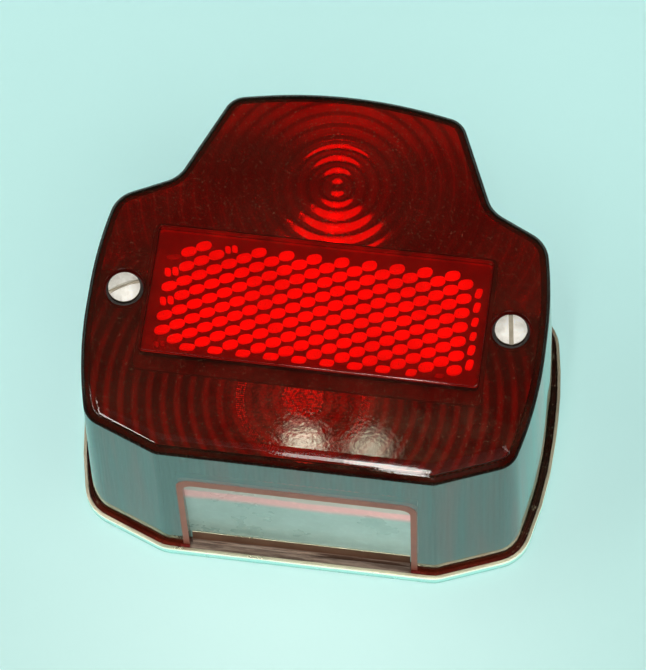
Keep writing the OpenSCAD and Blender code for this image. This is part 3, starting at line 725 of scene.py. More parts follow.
def flat_region(border, holes, extra=(), lines=()):
    """Triangulates a flat region with holes. extra are loose points, lines are polylines that the triangles follow.
    Returns points and triangles, with the border's and holes' own points first and in their own order."""
    pts, edges = [], []

    def add_loop(loop, closed=True):
        k = len(pts)
        pts.extend(Vector((p[0], p[1])) for p in loop)
        n = len(loop)
        edges.extend((k + i, k + (i + 1) % n) for i in range(n if closed else n - 1))

    add_loop(border)
    for h in holes:
        add_loop(h)
    fixed = len(pts)
    for line, closed in lines:
        add_loop(line, closed)
    pts.extend(Vector((p[0], p[1])) for p in extra)
    vs, es, fs, ov, oe, of = delaunay_2d_cdt(pts, edges, [], 0, 1e-5, True)
    border2 = [(p[0], p[1]) for p in border]
    holes2 = [[(p[0], p[1]) for p in h] for h in holes]
    tris = []
    for f in fs:
        cx = sum(vs[i].x for i in f) / len(f)
        cy = sum(vs[i].y for i in f) / len(f)
        if inside((cx, cy), border2) and not any(inside((cx, cy), h) for h in holes2):
            tris.append(tuple(f))
    where = {}
    for new, olds in enumerate(ov):
        for o_ in olds:
            where[o_] = new
    return vs, tris, [where.get(i) for i in range(fixed)]


class Build:
    """Collects verts, faces and material numbers, welding points that coincide."""

    def __init__(self):
        self.v, self.f, self.m, self.key = [], [], [], {}

    def point(self, p):
        k = (round(p[0], 4), round(p[1], 4), round(p[2], 4))
        if k not in self.key:
            self.key[k] = len(self.v)
            self.v.append(tuple(p))
        return self.key[k]

    def face(self, pts, mat=0):
        ids = [self.point(p) for p in pts]
        ids = [a for k, a in enumerate(ids) if a != ids[k - 1]]
        if len(ids) > 2 and len(set(ids)) == len(ids):
            self.f.append(tuple(ids))
            self.m.append(mat)

    def strip(self, a, b, mat=0, flip=False):
        """Quads between two closed loops of points."""
        n = len(a)
        for i in range(n):
            j = (i + 1) % n
            q = [a[i], a[j], b[j], b[i]]
            self.face(q[::-1] if flip else q, mat)

    def region(self, vs, tris, z, mat=0, up=True):
        for t in tris:
            pts = [(vs[i].x, vs[i].y, z(vs[i].x, vs[i].y) if callable(z) else z) for i in t]
            ax, ay = pts[1][0] - pts[0][0], pts[1][1] - pts[0][1]
            bx, by = pts[2][0] - pts[0][0], pts[2][1] - pts[0][1]
            ccw = ax * by - ay * bx > 0
            self.face(pts if ccw == up else pts[::-1], mat)


# ------------------------------------------------------------------ lens shell
SCREW_X = 52.0
FACE_Z = 63.3
REFLEX = (0.0, 0.45)
R_SEAT = round_rect(*REFLEX, 90.7, 37.4, 1.25, 8)
R_LIP = round_rect(*REFLEX, 90.84, 37.54, 1.32, 8)
R_HOLE = round_rect(*REFLEX, 86.2, 32.9, 1.5, 8)
TOP_IN = 62.6        # underside of the outer skin of the face
LEDGE = 61.7
BOSS = 5.45          # radius of the tube round each screw recess, under the face

b = Build()
# outside, from the foot up
out_prof = [(-0.45, 1.8), (2.85, 1.8), (3.0, 1.95), (3.0, 2.8), (2.9, 2.95)]
out_prof += [(2.4 - 0.4 * math.sin(math.radians(a)), 3.4 - 0.4 * math.cos(math.radians(a))) for a in (0, 30, 60, 89)]
FOOT_ROWS = len(out_prof)
out_prof += [(2.0 - 2.0 * k / 8.0, 3.4 + (60.3 - 3.4) * k / 8.0) for k in range(1, 9)]
WALL_ROWS = len(out_prof)


def smooth(a, b_, x):
    t = min(1.0, max(0.0, (x - a) / (b_ - a)))
    return t * t * (3 - 2 * t)


def fillet_ring(a):
    """The rounded edge of the face; it runs out a little wider along the foot of the lamp."""
    ca, sa = math.cos(math.radians(a)), math.sin(math.radians(a))
    out = []
    for p_, n_ in OUT:
        w = 3.6 + 1.6 * (1 - smooth(-40, -28, p_.y))
        d = -w + w * ca
        out.append(Vector((p_.x + n_.x * d, p_.y + n_.y * d, 60.3 + 3.0 * sa)))
    return out


rings = [ring(d, z) for d, z in out_prof] + [fillet_ring(a) for a in (7, 14, 21, 28, 35, 42, 49, 56, 63, 70, 76, 81, 86, 90)]
for k, (a, c) in enumerate(zip(rings, rings[1:])):
    if k < WALL_ROWS + 4:
        # the lowest rows of the fillet, all round, take a dull copy of the film: painted shade
        b.strip(a, c, 7 if k < FOOT_ROWS - 1 else (8 if k < WALL_ROWS - 1 else 9))
        continue
    for i in range(len(a)):      # along the front, the rows where the edge meets the face, and the right chamfer, take a dull copy of the film: painted shade
        j = (i + 1) % len(a)
        nx, ny = OUT[i][1].x, OUT[i][1].y
        dull = ny < -0.5 and (k >= len(rings) - 5 or nx > 0.15)
        b.face([a[i], a[j], c[j], c[i]], 9 if dull else 0)
# face
bosses = [circle(s * SCREW_X, 0, 5.55) for s in (-1, 1)]
edge = [(p.x, p.y) for p in rings[-1]]
vs, tris, _ = flat_region(edge, [R_LIP] + bosses)
b.region(vs, tris, FACE_Z, 0)


def wall(loop, z0, z1, mat=0, outward=False):
    """An upright wall on a loop that runs counter-clockwise; it faces inwards, to the loop's middle, unless outward."""
    a = [(x, y, z0) for x, y in loop]
    c = [(x, y, z1) for x, y in loop]
    b.strip(a, c, mat, flip=not outward)


def top_lit(build, low, high, mat, lit, y_min, flip=False):
    """A strip whose faces along the top side get their own material."""
    n = len(low)
    for i in range(n):
        j = (i + 1) % n
        q = [low[i], low[j], high[j], high[i]]
        build.face(q[::-1] if flip else q, lit if min(low[i][1], low[j][1]) > y_min else mat)


# screw recesses: broken lip, wall, floor, hole
for s in (-1, 1):
    b.strip([(x, y, FACE_Z - 0.15) for x, y in circle(s * SCREW_X, 0, 5.4)], [(x, y, FACE_Z) for x, y in circle(s * SCREW_X, 0, 5.55)], 0, flip=True)
    wall(circle(s * SCREW_X, 0, 5.4), 61.2, FACE_Z - 0.15, 6)
    floor_o, floor_i = circle(s * SCREW_X, 0, 5.4), circle(s * SCREW_X, 0, 2.75)
    b.strip([(x, y, 61.2) for x, y in floor_i], [(x, y, 61.2) for x, y in floor_o], 6, flip=True)
    wall(floor_i, 48.3, 61.2, 3)
    outer = circle(s * SCREW_X, 0, BOSS)
    low = circle(s * SCREW_X, 0, 5.1)
    b.strip([(x, y, 48.3) for x, y in floor_i], [(x, y, 48.3) for x, y in low], 1, flip=False)
    b.strip([(x, y, 48.3) for x, y in low], [(x, y, 59.2) for x, y in low], 1)
    b.strip([(x, y, 59.2) for x, y in low], [(x, y, 60.1) for x, y in outer], 1)
    b.strip([(x, y, 60.1) for x, y in outer], [(x, y, TOP_IN) for x, y in outer], 6)
# seat of the reflex plate
b.strip([(x, y, FACE_Z - 0.07) for x, y in R_SEAT], [(x, y, FACE_Z) for x, y in R_LIP], 0, flip=True)
# the seat's wall along the top side takes the edge light: painted light
top_lit(b, [(x, y, LEDGE) for x, y in R_SEAT], [(x, y, FACE_Z - 0.07) for x, y in R_SEAT], 3, 4, REFLEX[1] + 18.3, flip=True)
seat_vs, seat_tris, _ = flat_region(R_SEAT, [R_HOLE])
b.region(seat_vs, seat_tris, LEDGE, 3)
wall(R_HOLE, 60.3, LEDGE, 1)
under_o = round_rect(REFLEX[0], REFLEX[1] - 1.7, 93.0, 43.0, 2.2, 8)
vs, tris, _ = flat_region(under_o, [R_HOLE])
b.region(vs, tris, 60.3, 5, up=False)
wall(under_o, 60.3, TOP_IN, 5, outward=True)
# underside of the outer skin
inner_prof = [(-0.45, 1.8), (-0.5, 1.9)] + [(-0.5 - 2.0 * k / 6.0, 1.9 + (58.0 - 1.9) * k / 6.0) for k in range(1, 7)]
inner_prof += [(-2.5, 60.0), (-0.9, 60.16), (-0.95, 61.1), (-1.25, 61.75), (-1.8, 62.25), (-2.6, TOP_IN - 0.06), (-3.1, TOP_IN)]
FL = OUT_FINE
per = [0.0]
for (p, n), (q, m_) in zip(FL, FL[1:] + FL[:1]):
    per.append(per[-1] + (q - p).length)
PITCH = per[-1] / round(per[-1] / 1.75)


def ribbed(d, z, depth):
    return [Vector((p.x + n.x * (d + depth * math.cos(2 * math.pi * per[i] / PITCH)), p.y + n.y * (d + depth * math.cos(2 * math.pi * per[i] / PITCH)), z)) for i, (p, n) in enumerate(FL)]


inner = [ribbed(d, z, 0.0 if z < 4 or z > 60 else 0.16) for d, z in inner_prof]
# the foot joins the coarse outer loop to the fine inner one
foot_o = [(p.x, p.y) for p in ring(-0.45, 1.8)]
b2_lo = [(p.x, p.y) for p in ring(-0.5, 1.9, FL)]
for k, (a, c) in enumerate(zip(inner[1:], inner[2:])):
    b.strip(a, c, 1 if inner_prof[k + 2][1] < 60.3 else 2, flip=True)
vs, tris, _ = flat_region(foot_o, [b2_lo])
b.region(vs, tris, lambda x, y: 1.8, 0, up=False)
b.strip([(x, y, 1.8) for x, y in b2_lo], [tuple(p) for p in inner[1]], 1, flip=True)
edge_in = [(p.x, p.y) for p in inner[-1]]
vs, tris, _ = flat_region(edge_in, [under_o] + [circle(s * SCREW_X, 0, BOSS) for s in (-1, 1)])
b.region(vs, tris, TOP_IN, 2, up=False)
lens = new_object("lens_shell", b.v, b.f, "lens_unit", [M["film"], M["wall_in"], M["film_in"], M["seat"], M["edge_light"], M["frame_back"], M["recess"], M["foot"], M["film_wall"], M["film_edge"]], b.m)
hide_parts("lens")

# window: cut through the front wall, with the step that the pane sits in
WIN_HW, WIN_TOP = 30.7, 42.3


def prism_cutter(name, poly, y0, y1):
    """An extruded x-z outline between two y planes."""
    n = len(poly)
    verts = [(x, y0, z) for x, z in poly] + [(x, y1, z) for x, z in poly]
    faces = [tuple(range(n))[::-1], tuple(range(n, 2 * n))] + [(i, (i + 1) % n, n + (i + 1) % n, n + i) for i in range(n)]
    me = bpy.data.meshes.new(name)
    me.from_pydata([tuple(c * MM for c in v) for v in verts], [], faces)
    bm = bmesh.new()
    bm.from_mesh(me)
    bmesh.ops.recalc_face_normals(bm, faces=bm.faces)
    bm.to_mesh(me)
    bm.free()
    o = bpy.data.objects.new(name, me)
    scene.collection.objects.link(o)
    return o


def window_outline(hw, top, r, foot, n=8):
    pts = [(-hw, foot), (hw, foot)]
    pts += [(hw - r + r * math.cos(math.radians(a)), top - r + r * math.sin(math.radians(a))) for a in [90 * i / n for i in range(n + 1)]]
    pts += [(-hw + r + r * math.cos(math.radians(a)), top - r + r * math.sin(math.radians(a))) for a in [90 + 90 * i / n for i in range(n + 1)]]
    return pts


def cut(o, *cutters):
    for c in cutters:
        m = o.modifiers.new("cut", "BOOLEAN")
        m.operation = "DIFFERENCE"
        m.solver = "EXACT"
        m.object = c
    apply_modifiers(o)
    for c in cutters:
        me = c.data
        bpy.data.objects.remove(c)
        bpy.data.meshes.remove(me)
    return o


cut(lens, prism_cutter("cut_window", window_outline(WIN_HW, WIN_TOP, 2.9, 0.5), -60, -40.0),
    prism_cutter("cut_step", window_outline(WIN_HW + 1.8, WIN_TOP + 2.7, 3.0, 0.4), -45.2, -40.5))
shade(lens, 32.0)
weighted(lens)

# ------------------------------------------------------------------ rings moulded behind the face
# middle and width of the flanks that throw light, from the ring middle outwards, and how steep they are
UP_FLANKS = [(1.7, 1.7, 1.0), (5.0, 1.6, 1.0), (8.75, 1.6, 1.0), (12.4, 1.25, 1.0)]
UP_FLANKS += [(14.3 + 1.81 * k, 0.7, 0.42) for k in range(18)]
DOWN_FLANKS = [(2.15, 1.7, 1.0), (5.5, 1.7, 1.0), (8.85, 2.7, 1.0), (12.6, 2.7, 1.0), (16.45, 2.5, 1.0), (20.1, 2.1, 0.7)]
DOWN_FLANKS += [(23.5 + 3.62 * k, 1.6, 0.36) for k in range(8)]


def flank_slope(r, flanks):
    best = min(flanks, key=lambda f: abs(r - f[0]) / f[1])
    d = (r - best[0]) / (best[1] / 2)
    return best[2] * max(-0.25, 0.20 - 0.125 * d * d)


STEP = 0.1
TABLES = []
for flanks in (UP_FLANKS, DOWN_FLANKS):
    raw, h = [], 0.0
    for k in range(640):
        raw.append(h)
        h += STEP * flank_slope((k + 0.5) * STEP, flanks)
    # take out the drift, so that every ring is as high as the next
    half = 18
    TABLES.append([raw[k] - sum(raw[max(0, k - half):k + half + 1]) / len(raw[max(0, k - half):k + half + 1]) for k in range(640)])


def table(t, r):
    k = min(638, int(r / STEP))
    f = min(1.0, r / STEP - k)
    return t[k] * (1 - f) + t[k + 1] * f


def turn(x, y):
    """How far a point is round from the middle line of the light: 1 above the ring middle, -1 below it."""
    dx, dy = x - STOP[0], y - STOP[1]
    r = max(0.01, math.hypot(dx, dy))
    side = (dy * math.cos(0.2) - dx * math.sin(0.2)) / r
    return r, smooth(0.36, 0.60, abs(side)) * (1 if side > 0 else -1)


def relief(x, y):
    """Height of the moulded rings over the plate's low level, and the normal there."""
    if y > 10:
        r, side = turn(x, y)
        h = 0.55 + abs(side) * table(TABLES[0 if side > 0 else 1], r) * (1 if side > 0 else -1)
        g = flank_slope(r, UP_FLANKS if side > 0 else DOWN_FLANKS) * side
        if r < 0.5:
            g *= r / 0.5
        ux, uy = (x - STOP[0]) / max(r, 0.01), (y - STOP[1]) / max(r, 0.01)
        # a facet that faces the foot of the lamp
        return h, Vector((-g * ux, -g * uy, 1.0)).normalized()
    r = math.hypot(x - TAIL[0], y - TAIL[1])
    t = (r / P_LOW + 0.1) % 1.0
    a = 0.0 if r < 6 else 0.06 + 0.02 * smooth(16, 30, r)
    g = a * 4 * (1 - 2 * t) / P_LOW
    ux, uy = (x - TAIL[0]) / max(r, 0.01), (y - TAIL[1]) / max(r, 0.01)
    return 0.45 + a * 4 * t * (1 - t), Vector((-g * ux, -g * uy, 1.0)).normalized()


plate_out = [(p.x, p.y) for p in ring(-2.5, 0)]
plate_holes = [round_rect(REFLEX[0], REFLEX[1] - 1.7, 93.1, 43.1, 2.25, 8)] + [circle(s * SCREW_X, 0, BOSS + 0.05) for s in (-1, 1)]


def clip_arc(cx, cy, r, n, keep):
    """The runs of a circle's points that keep() accepts, as open polylines."""
    pts = circle(cx, cy, r, n)
    ok = [keep(p) for p in pts]
    if all(ok):
        return [(pts, True)]
    start = next((i for i in range(n) if not ok[i]), 0)
    runs, run = [], []
    for i in range(1, n + 1):
        j = (start + i) % n
        if ok[j]:
            run.append(pts[j])
        else:
            if len(run) > 1:
                runs.append((run, False))
            run = []
    if len(run) > 1:
        runs.append((run, False))
    return runs


def clear_of(p, gap):
    """Inside the plate and at least gap from its edges."""
    return (inside(p, inner_out) and not inside(p, hole_grown) and all(math.hypot(p[0] - s * SCREW_X, p[1]) > BOSS + 0.05 + gap for s in (-1, 1)))


inner_out = [(p.x, p.y) for p in ring(-2.75, 0)]
hole_grown = round_rect(REFLEX[0], REFLEX[1] - 1.7, 93.6, 43.6, 2.5, 8)


def in_upper(p):
    return p[1] > 10.3 and clear_of(p, 0.25)


def in_lower(p):
    return p[1] < 9.7 and clear_of(p, 0.25)


lines = []
radii = []
r = 0.45
while r < 47:
    radii.append(r)
    r += 0.42 if r < 22 else 0.9
for r in radii:
    lines += clip_arc(*STOP, r, 48 if r < 3 else (120 if r < 12 else 200), in_upper)
for k in range(2, 19):
    for f in (0.0, 0.2, 0.4, 0.6, 0.8):
        r = P_LOW * (k - 0.1 + f)
        if 6.0 < r < 66:
            lines += clip_arc(*TAIL, r, 120 if r < 20 else 240, in_lower)
vs, tris, _ = flat_region(plate_out, plate_holes, extra=[STOP, TAIL], lines=lines)


def top_z(x, y):
    return 60.95 + relief(x, y)[0]


def low_z(x, y):
    return 60.15 + relief(x, y)[0]


p = Build()
p.region(vs, tris, top_z, 0, up=True)
p.region(vs, tris, low_z, 1, up=False)
# rims of the plate: every edge used by one triangle only
use = {}
for t in tris:
    for a, c, o3 in ((t[0], t[1], t[2]), (t[1], t[2], t[0]), (t[2], t[0], t[1])):
        use.setdefault((min(a, c), max(a, c)), []).append((a, c, o3))
for found in use.values():
    if len(found) == 1:
        a, c, o3 = found[0]
        ax, cx = vs[a], vs[c]
        if (cx.x - ax.x) * (vs[o3].y - ax.y) - (cx.y - ax.y) * (vs[o3].x - ax.x) < 0:
            ax, cx = cx, ax
        p.face([(ax.x, ax.y, low_z(ax.x, ax.y)), (cx.x, cx.y, low_z(cx.x, cx.y)), (cx.x, cx.y, top_z(cx.x, cx.y)), (ax.x, ax.y, top_z(ax.x, ax.y))], 1)
optics = new_object("lens_ring_optics", p.v, p.f, "lens_unit", [M["prism"], M["wall_in"]], p.m, smooth=60.0)
me = optics.data
normals = [tuple(c.vector) for c in me.corner_normals]
for f in me.polygons:
    if f.material_index == 0:
        for k in f.loop_indices:
            q = me.vertices[me.loops[k].vertex_index].co / MM
            # light that meets the prisms is bent, so that each facet acts as if it were tilted toward the foot
            normals[k] = tuple(relief(q.x, q.y)[1])
me.normals_split_custom_set(normals)
me.update()

# stipple: small pyramids on a disc and on a ring round it
sp = Build()


def pyramid(x, y, w, h):
    z = 61.0 + relief(x, y)[0]
    base = [(x + w, y, z), (x, y + w, z), (x - w, y, z), (x, y - w, z)]
    for k in range(4):
        sp.face([base[k], base[(k + 1) % 4], (x, y, z + h)])
    sp.face(base[::-1])


for i in range(-12, 13):
    for j in range(-12, 13):
        x, y = TAIL[0] + i * 0.56 + (j % 2) * 0.28, TAIL[1] + j * 0.48
        if math.hypot(x - TAIL[0], y - TAIL[1]) < 5.5 and in_lower((x, y)):
            pyramid(x, y, 0.29, 0.16)
for q in range(5):
    r = 15.75 + 0.46 * q
    n = int(2 * math.pi * r / 0.6)
    for i in range(n):
        a = 2 * math.pi * (i + 0.5 * (q % 2)) / n
        pt = (TAIL[0] + r * math.cos(a), TAIL[1] + r * math.sin(a))
        if in_lower(pt) and noise.noise(Vector((i * 0.37, q * 1.3, 4.0))) > -0.40:
            pyramid(pt[0], pt[1], 0.24, 0.13)
stipple = new_object("lens_stipple_points", sp.v, sp.f, "lens_unit", [M["stipple"]], None, smooth=10.0)

# ------------------------------------------------------------------ reflex reflector
rx, ry = REFLEX
rb = Build()
loops = []
for inset, z in ((0.0, 62.9), (0.0, 63.42), (0.0, 63.72), (0.0, 64.0), (0.06, 64.14), (0.18, 64.25), (0.34, 64.3)):
    loops.append([(x, y, z) for x, y in round_rect(rx, ry, 90.6 - 2 * inset, 37.3 - 2 * inset, 1.2 - inset, 8)])
rb.face(loops[0][::-1], 2)
# the cover's side along the top takes the edge light: painted light
top_lit(rb, loops[0], loops[1], 1, 4, ry + 18.3)
rb.strip(loops[1], loops[2], 1)
# painted highlight line round the cover's side
rb.strip(loops[2], loops[3], 3)
for a, c in zip(loops[3:], loops[4:]):
    rb.strip(a, c, 0)
rb.face(loops[-1], 0)
cover = new_object("reflex_cover", rb.v, rb.f, "lens_unit", [M["cover"], M["seat"], M["film_in"], M["edge_line"], M["edge_light"]], rb.m, smooth=32)
weighted(cover)

# cells: a plate with raised, slightly domed lobes in slanting rows
CELL_L = [(1.92, -0.22), (2.07, 0.34), (2.03, 0.84), (1.62, 1.40), (0.66, 1.60), (-0.42, 1.30), (-1.36, 0.82)]
CELL_R = [(1.94, -0.46), (2.09, 0.24), (2.00, 0.84), (1.42, 1.50), (0.52, 1.60), (-0.62, 1.50), (-1.58, 1.06)]


def cell_shape(x):
    """Outline of a cell: slanting at the left end, a fuller hexagon from the middle on."""
    t = 0.55 * smooth(-38, 0, x)
    half = [(a[0] + (c[0] - a[0]) * t, a[1] + (c[1] - a[1]) * t) for a, c in zip(CELL_L, CELL_R)]
    return half + [(-u, -v) for u, v in half]


ROUND = [(math.cos(a) * (1 - 0.08 * math.cos(4 * a)), math.sin(a) * (1 - 0.08 * math.cos(4 * a))) for a in [2 * math.pi * k / 16 for k in range(16)]]
cb = Build()
base_loop = round_rect(rx, ry, 86.0, 32.7, 1.5, 8)
wide_loop = round_rect(rx, ry, 90.2, 36.9, 1.0, 8)
mid_loop = round_rect(rx, ry, 89.0, 35.7, 0.8, 8)
cb.strip([(x, y, 60.65) for x, y in base_loop], [(x, y, 61.72) for x, y in base_loop], 1)
cb.strip([(x, y, 61.72) for x, y in base_loop], [(x, y, 61.72) for x, y in wide_loop], 1)
cb.strip([(x, y, 61.72) for x, y in wide_loop], [(x, y, 61.9) for x, y in wide_loop], 1)
# the top side of the cells' rim takes the edge light: painted light
for i in range(len(wide_loop)):
    j = (i + 1) % len(wide_loop)
    top_side = min(wide_loop[i][1], wide_loop[j][1]) > ry + 17.4
    cb.face([(*wide_loop[i], 61.9), (*wide_loop[j], 61.9), (*mid_loop[j], 61.9), (*mid_loop[i], 61.9)], 2 if top_side else 1)
cb.face([(x, y, 61.9) for x, y in mid_loop], 1)
cb.face([(x, y, 60.65) for x, y in base_loop][::-1], 1)


def lobe(c, w=1.0, h=1.0, shape=None, lean=0.0, lift=1.0, mat=0):
    """One raised cell; w and h scale its outline, lean slants it to the right."""
    low, mid, top = [], [], []
    for x, y in shape or cell_shape(c[0]):
        x, y = x * w + y * h * lean, y * h
        for lst, s, z in ((low, 1.0, 0.0), (mid, 0.985, 0.45), (top, 0.90, 0.68)):
            lst.append((c[0] + x * s, c[1] + y * s, 61.88 + z * lift))
    cb.strip(low, mid, mat)
    cb.strip(mid, top, mat)
    for i in range(len(top)):
        cb.face([top[i], top[(i + 1) % len(top)], (c[0], c[1], 61.88 + 0.84 * lift)], mat)
    cb.face(low[::-1], mat)


def cell_at(k, j):
    """Middle of the cell in column k, row j: the mould's lattice runs a little downhill to the right."""
    x = -40.24 + 3.745 * k
    y = (15.1 if k % 2 == 0 else 12.95) - 4.3 * j
    return (x, 2.2 + (y - 2.2) * (1 - 0.0003 * (x + 33)) - 0.0075 * (x + 33))


def split(c, w, h, mat=0):
    """A cell with a groove across it."""
    for s in (-1, 1):
        lobe((c[0] + s * 1.0 * w, c[1] + s * 0.26 * h), 0.93 * w, 1.34 * h, ROUND, -0.18, 0.85, mat)


for k in range(22):
    for j in range(7):
        c = cell_at(k, j)
        w = 1.0 + 0.03 * noise.noise(Vector((c[0] * 0.37, c[1] * 0.41, 2.0)))
        h = 0.985 + 0.05 * noise.noise(Vector((c[0] * 0.31, c[1] * 0.47, 7.0)))
        if k == 0 and j in (2, 4):
            split(c, w, h)
        elif k == 0 and j == 0:
            continue
        elif k == 0 and j == 1:
            lobe(c, w, 0.55 * h, mat=3)
        elif k == 4 and j == 0:
            split(c, 0.9 * w, 0.85 * h)
        else:
            lobe(c, w, h)
    if k % 2 == 0:
        x, y = cell_at(k, 7)
        if k == 0:
            split((x, y), 0.8, 0.7, 3)
        elif k < 18:
            lobe((x - 0.05, y + 0.10), 2.02 + 0.08 * (k % 3), 1.14, ROUND, 0.30, 0.8)
        elif k == 18:
            lobe((x, y + 0.05), 1.5, 1.14, ROUND, 0.35, 0.8)
        else:
            lobe((x, y - 0.05), 1.25, 0.80, ROUND, 0.35, 0.6, 3)
for y, w, h in ((10.0, 1.02, 1.55), (5.85, 1.0, 1.6), (1.55, 0.98, 1.42), (-2.65, 0.94, 1.35), (-6.7, 1.05, 1.6), (-11.0, 1.08, 1.7)):
    lobe((42.2, y), w, h, ROUND, 0.16, 0.8)
cells = new_object("reflex_cells", cb.v, cb.f, "lens_unit", [M["lobe"], M["lobe_base"], M["edge_light"], M["lobe_dim"]], cb.m, smooth=40)
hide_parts("reflex_reflector")

# ------------------------------------------------------------------ window edge and pane
TILT = math.atan2(1.0, 58.5)


def on_wall(x, z, depth):
    """A point depth outside the drafted front wall at that x and height."""
    y = -45.8 - 2.0 + (z - 3.0) / 57.3 * 2.0
    return (x, y - depth, z)


wf = Build()
o_loop = window_outline(WIN_HW + 1.75, WIN_TOP + 3.3, 4.2, 3.05, 10)
i_loop = window_outline(WIN_HW + 0.02, WIN_TOP + 0.02, 2.92, 3.05, 10)
# a U-shaped band: both loops start at the foot, left then right
for da, dz in ((0.05, 0.0),):
    fo, fi = [on_wall(x, z, 0.05) for x, z in o_loop], [on_wall(x, z, 0.05) for x, z in i_loop]
    bo, bi = [on_wall(x, z, -0.12) for x, z in o_loop], [on_wall(x, z, -0.9) for x, z in i_loop]
    n = len(fo)
    for i in range(1, n):
        j = (i + 1) % n
        wf.face([fo[i], fo[j], fi[j], fi[i]])
        wf.face([bo[j], bo[i], bi[i], bi[j]])
        wf.face([fo[j], fo[i], bo[i], bo[j]])
        wf.face([fi[i], fi[j], bi[j], bi[i]], 2 if abs(fi[i][0] - fi[j][0]) < 0.3 else 0)
    wf.face([fo[1], fi[1], bi[1], bo[1]])
    wf.face([fi[0], fo[0], bo[0], bi[0]])
for sgn in (-1, 1):
    lo, hi = (Vector((min(sgn * 30.75, sgn * 33.2), -48.76, 1.95)), Vector((max(sgn * 30.75, sgn * 33.2), -47.72, 3.06)))
    q = [(x, y, z) for z in (lo.z, hi.z) for x, y in ((lo.x, lo.y), (hi.x, lo.y), (hi.x, hi.y), (lo.x, hi.y))]
    for f in ((3, 2, 1, 0), (4, 5, 6, 7), (0, 1, 5, 4), (1, 2, 6, 5), (2, 3, 7, 6), (3, 0, 4, 7)):
        wf.face([q[k] for k in f], 1)
edge_band = new_object("window_edge", wf.v, wf.f, "lens_unit", [M["salmon"], M["flange_end"], M["gap"]], wf.m, smooth=30)
bm = bmesh.new()
bm.from_mesh(edge_band.data)
bmesh.ops.recalc_face_normals(bm, faces=bm.faces)
bm.to_mesh(edge_band.data)
bm.free()

# ------------------------------------------------------------------ metal and other parts that keep their CAD shape, with broken edges
def softened(node, body, mat, width=0.15, segments=2, angle=32.0):
    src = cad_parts[node]
    me = src.data.copy()
    o = bpy.data.objects.new(node + "_finished", me)
    scene.collection.objects.link(o)
    me.materials.clear()
    me.materials.append(mat)
    bm = bmesh.new()
    bm.from_mesh(me)
    bmesh.ops.remove_doubles(bm, verts=bm.verts, dist=2e-6)
    bmesh.ops.dissolve_limit(bm, angle_limit=math.radians(0.6), verts=bm.verts, edges=bm.edges)
    for f in bm.faces:
        f.material_index = 0
        f.smooth = True
    bm.to_mesh(me)
    bm.free()
    m = o.modifiers.new("bevel", "BEVEL")
    m.width = width * MM
    m.segments = segments
    m.limit_method = "ANGLE"
    m.angle_limit = math.radians(angle)
    m.use_clamp_overlap = True
    m.harden_normals = False
    apply_modifiers(o)
    t = o.modifiers.new("tri", "TRIANGULATE")
    apply_modifiers(o)
    shade(o, 40.0)
    weighted(o)
    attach(o, body)
    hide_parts(node)
    return o


base = softened("base_plate", "base", M["plated"], 0.28, 3)
base.data.materials.append(M["plated_worn"])
base.data.materials.append(M["rim_side"])
for v in base.data.vertices:      # the upstand leans against the pane
    x, y, z = v.co / MM
    if abs(x) < 31 and z > 3.9 and -46.9 < y < -45.3:
        f = min(1.0, (z - 3.9) / 3.0)
        v.co.y += (0.40 + (0.55 if y < -46.0 else 0.0)) * f * MM
base.data.update()
FACE_OUT = [(p.x, p.y) for p in ring(3.75, 0)]
RIM_OUT = [(p.x, p.y) for p in ring(3.95, 0)]
for f in base.data.polygons:
    c, n = f.center / MM, f.normal
    rim_side = not inside((c.x, c.y), FACE_OUT)
    if not rim_side and not (n.z > 0.35 and (c.z > 6.9 or 3.3 < c.z < 3.7)):
        f.material_index = 1
    elif n.z < 0.3 and c.z < 3.2 and not inside((c.x, c.y), RIM_OUT):
        f.material_index = 2
for node, mat in {
        "base_gasket": "gasket", "lens_posts": "plated", "reflector": "bright", "light_partition": "tinned",
        "partition_rivets": "brass", "socket_rivets": "brass", "earth_terminal": "brass", "earth_rivet": "brass",
        "stop_socket_shell": "tinned", "tail_socket_shell": "tinned", "stop_socket_insulator": "laminate",
        "tail_socket_insulator": "laminate", "stop_terminal": "brass", "tail_terminal": "brass",
        "stop_contact_spring": "wire", "tail_contact_spring": "wire", "stop_contact_disc": "laminate",
        "tail_contact_disc": "laminate", "stop_contact_pin": "brass", "tail_contact_pin": "brass",
        "stop_lamp_cap": "brass", "tail_lamp_cap": "brass", "stop_lamp_insulator": "black", "tail_lamp_insulator": "black",
        "stop_lamp_contact": "solder", "tail_lamp_contact": "solder", "stop_lamp_glass": "bulb_glass",
        "tail_lamp_glass": "bulb_glass", "stop_lamp_filament": "wire", "tail_lamp_filament": "wire",
        "reflex_backing": "backing", "window_pane": "pane", "left_lens_screw": "screw", "right_lens_screw": "screw",
        "left_screw_washer": "rubber", "right_screw_washer": "rubber"}.items():
    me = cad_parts[node].data
    me.materials.clear()
    me.materials.append(M[mat])

# ------------------------------------------------------------------ contact springs, wound as coils
SPRING_Z0, SPRING_Z1, PUSH = 2.95, 7.35, 2.5


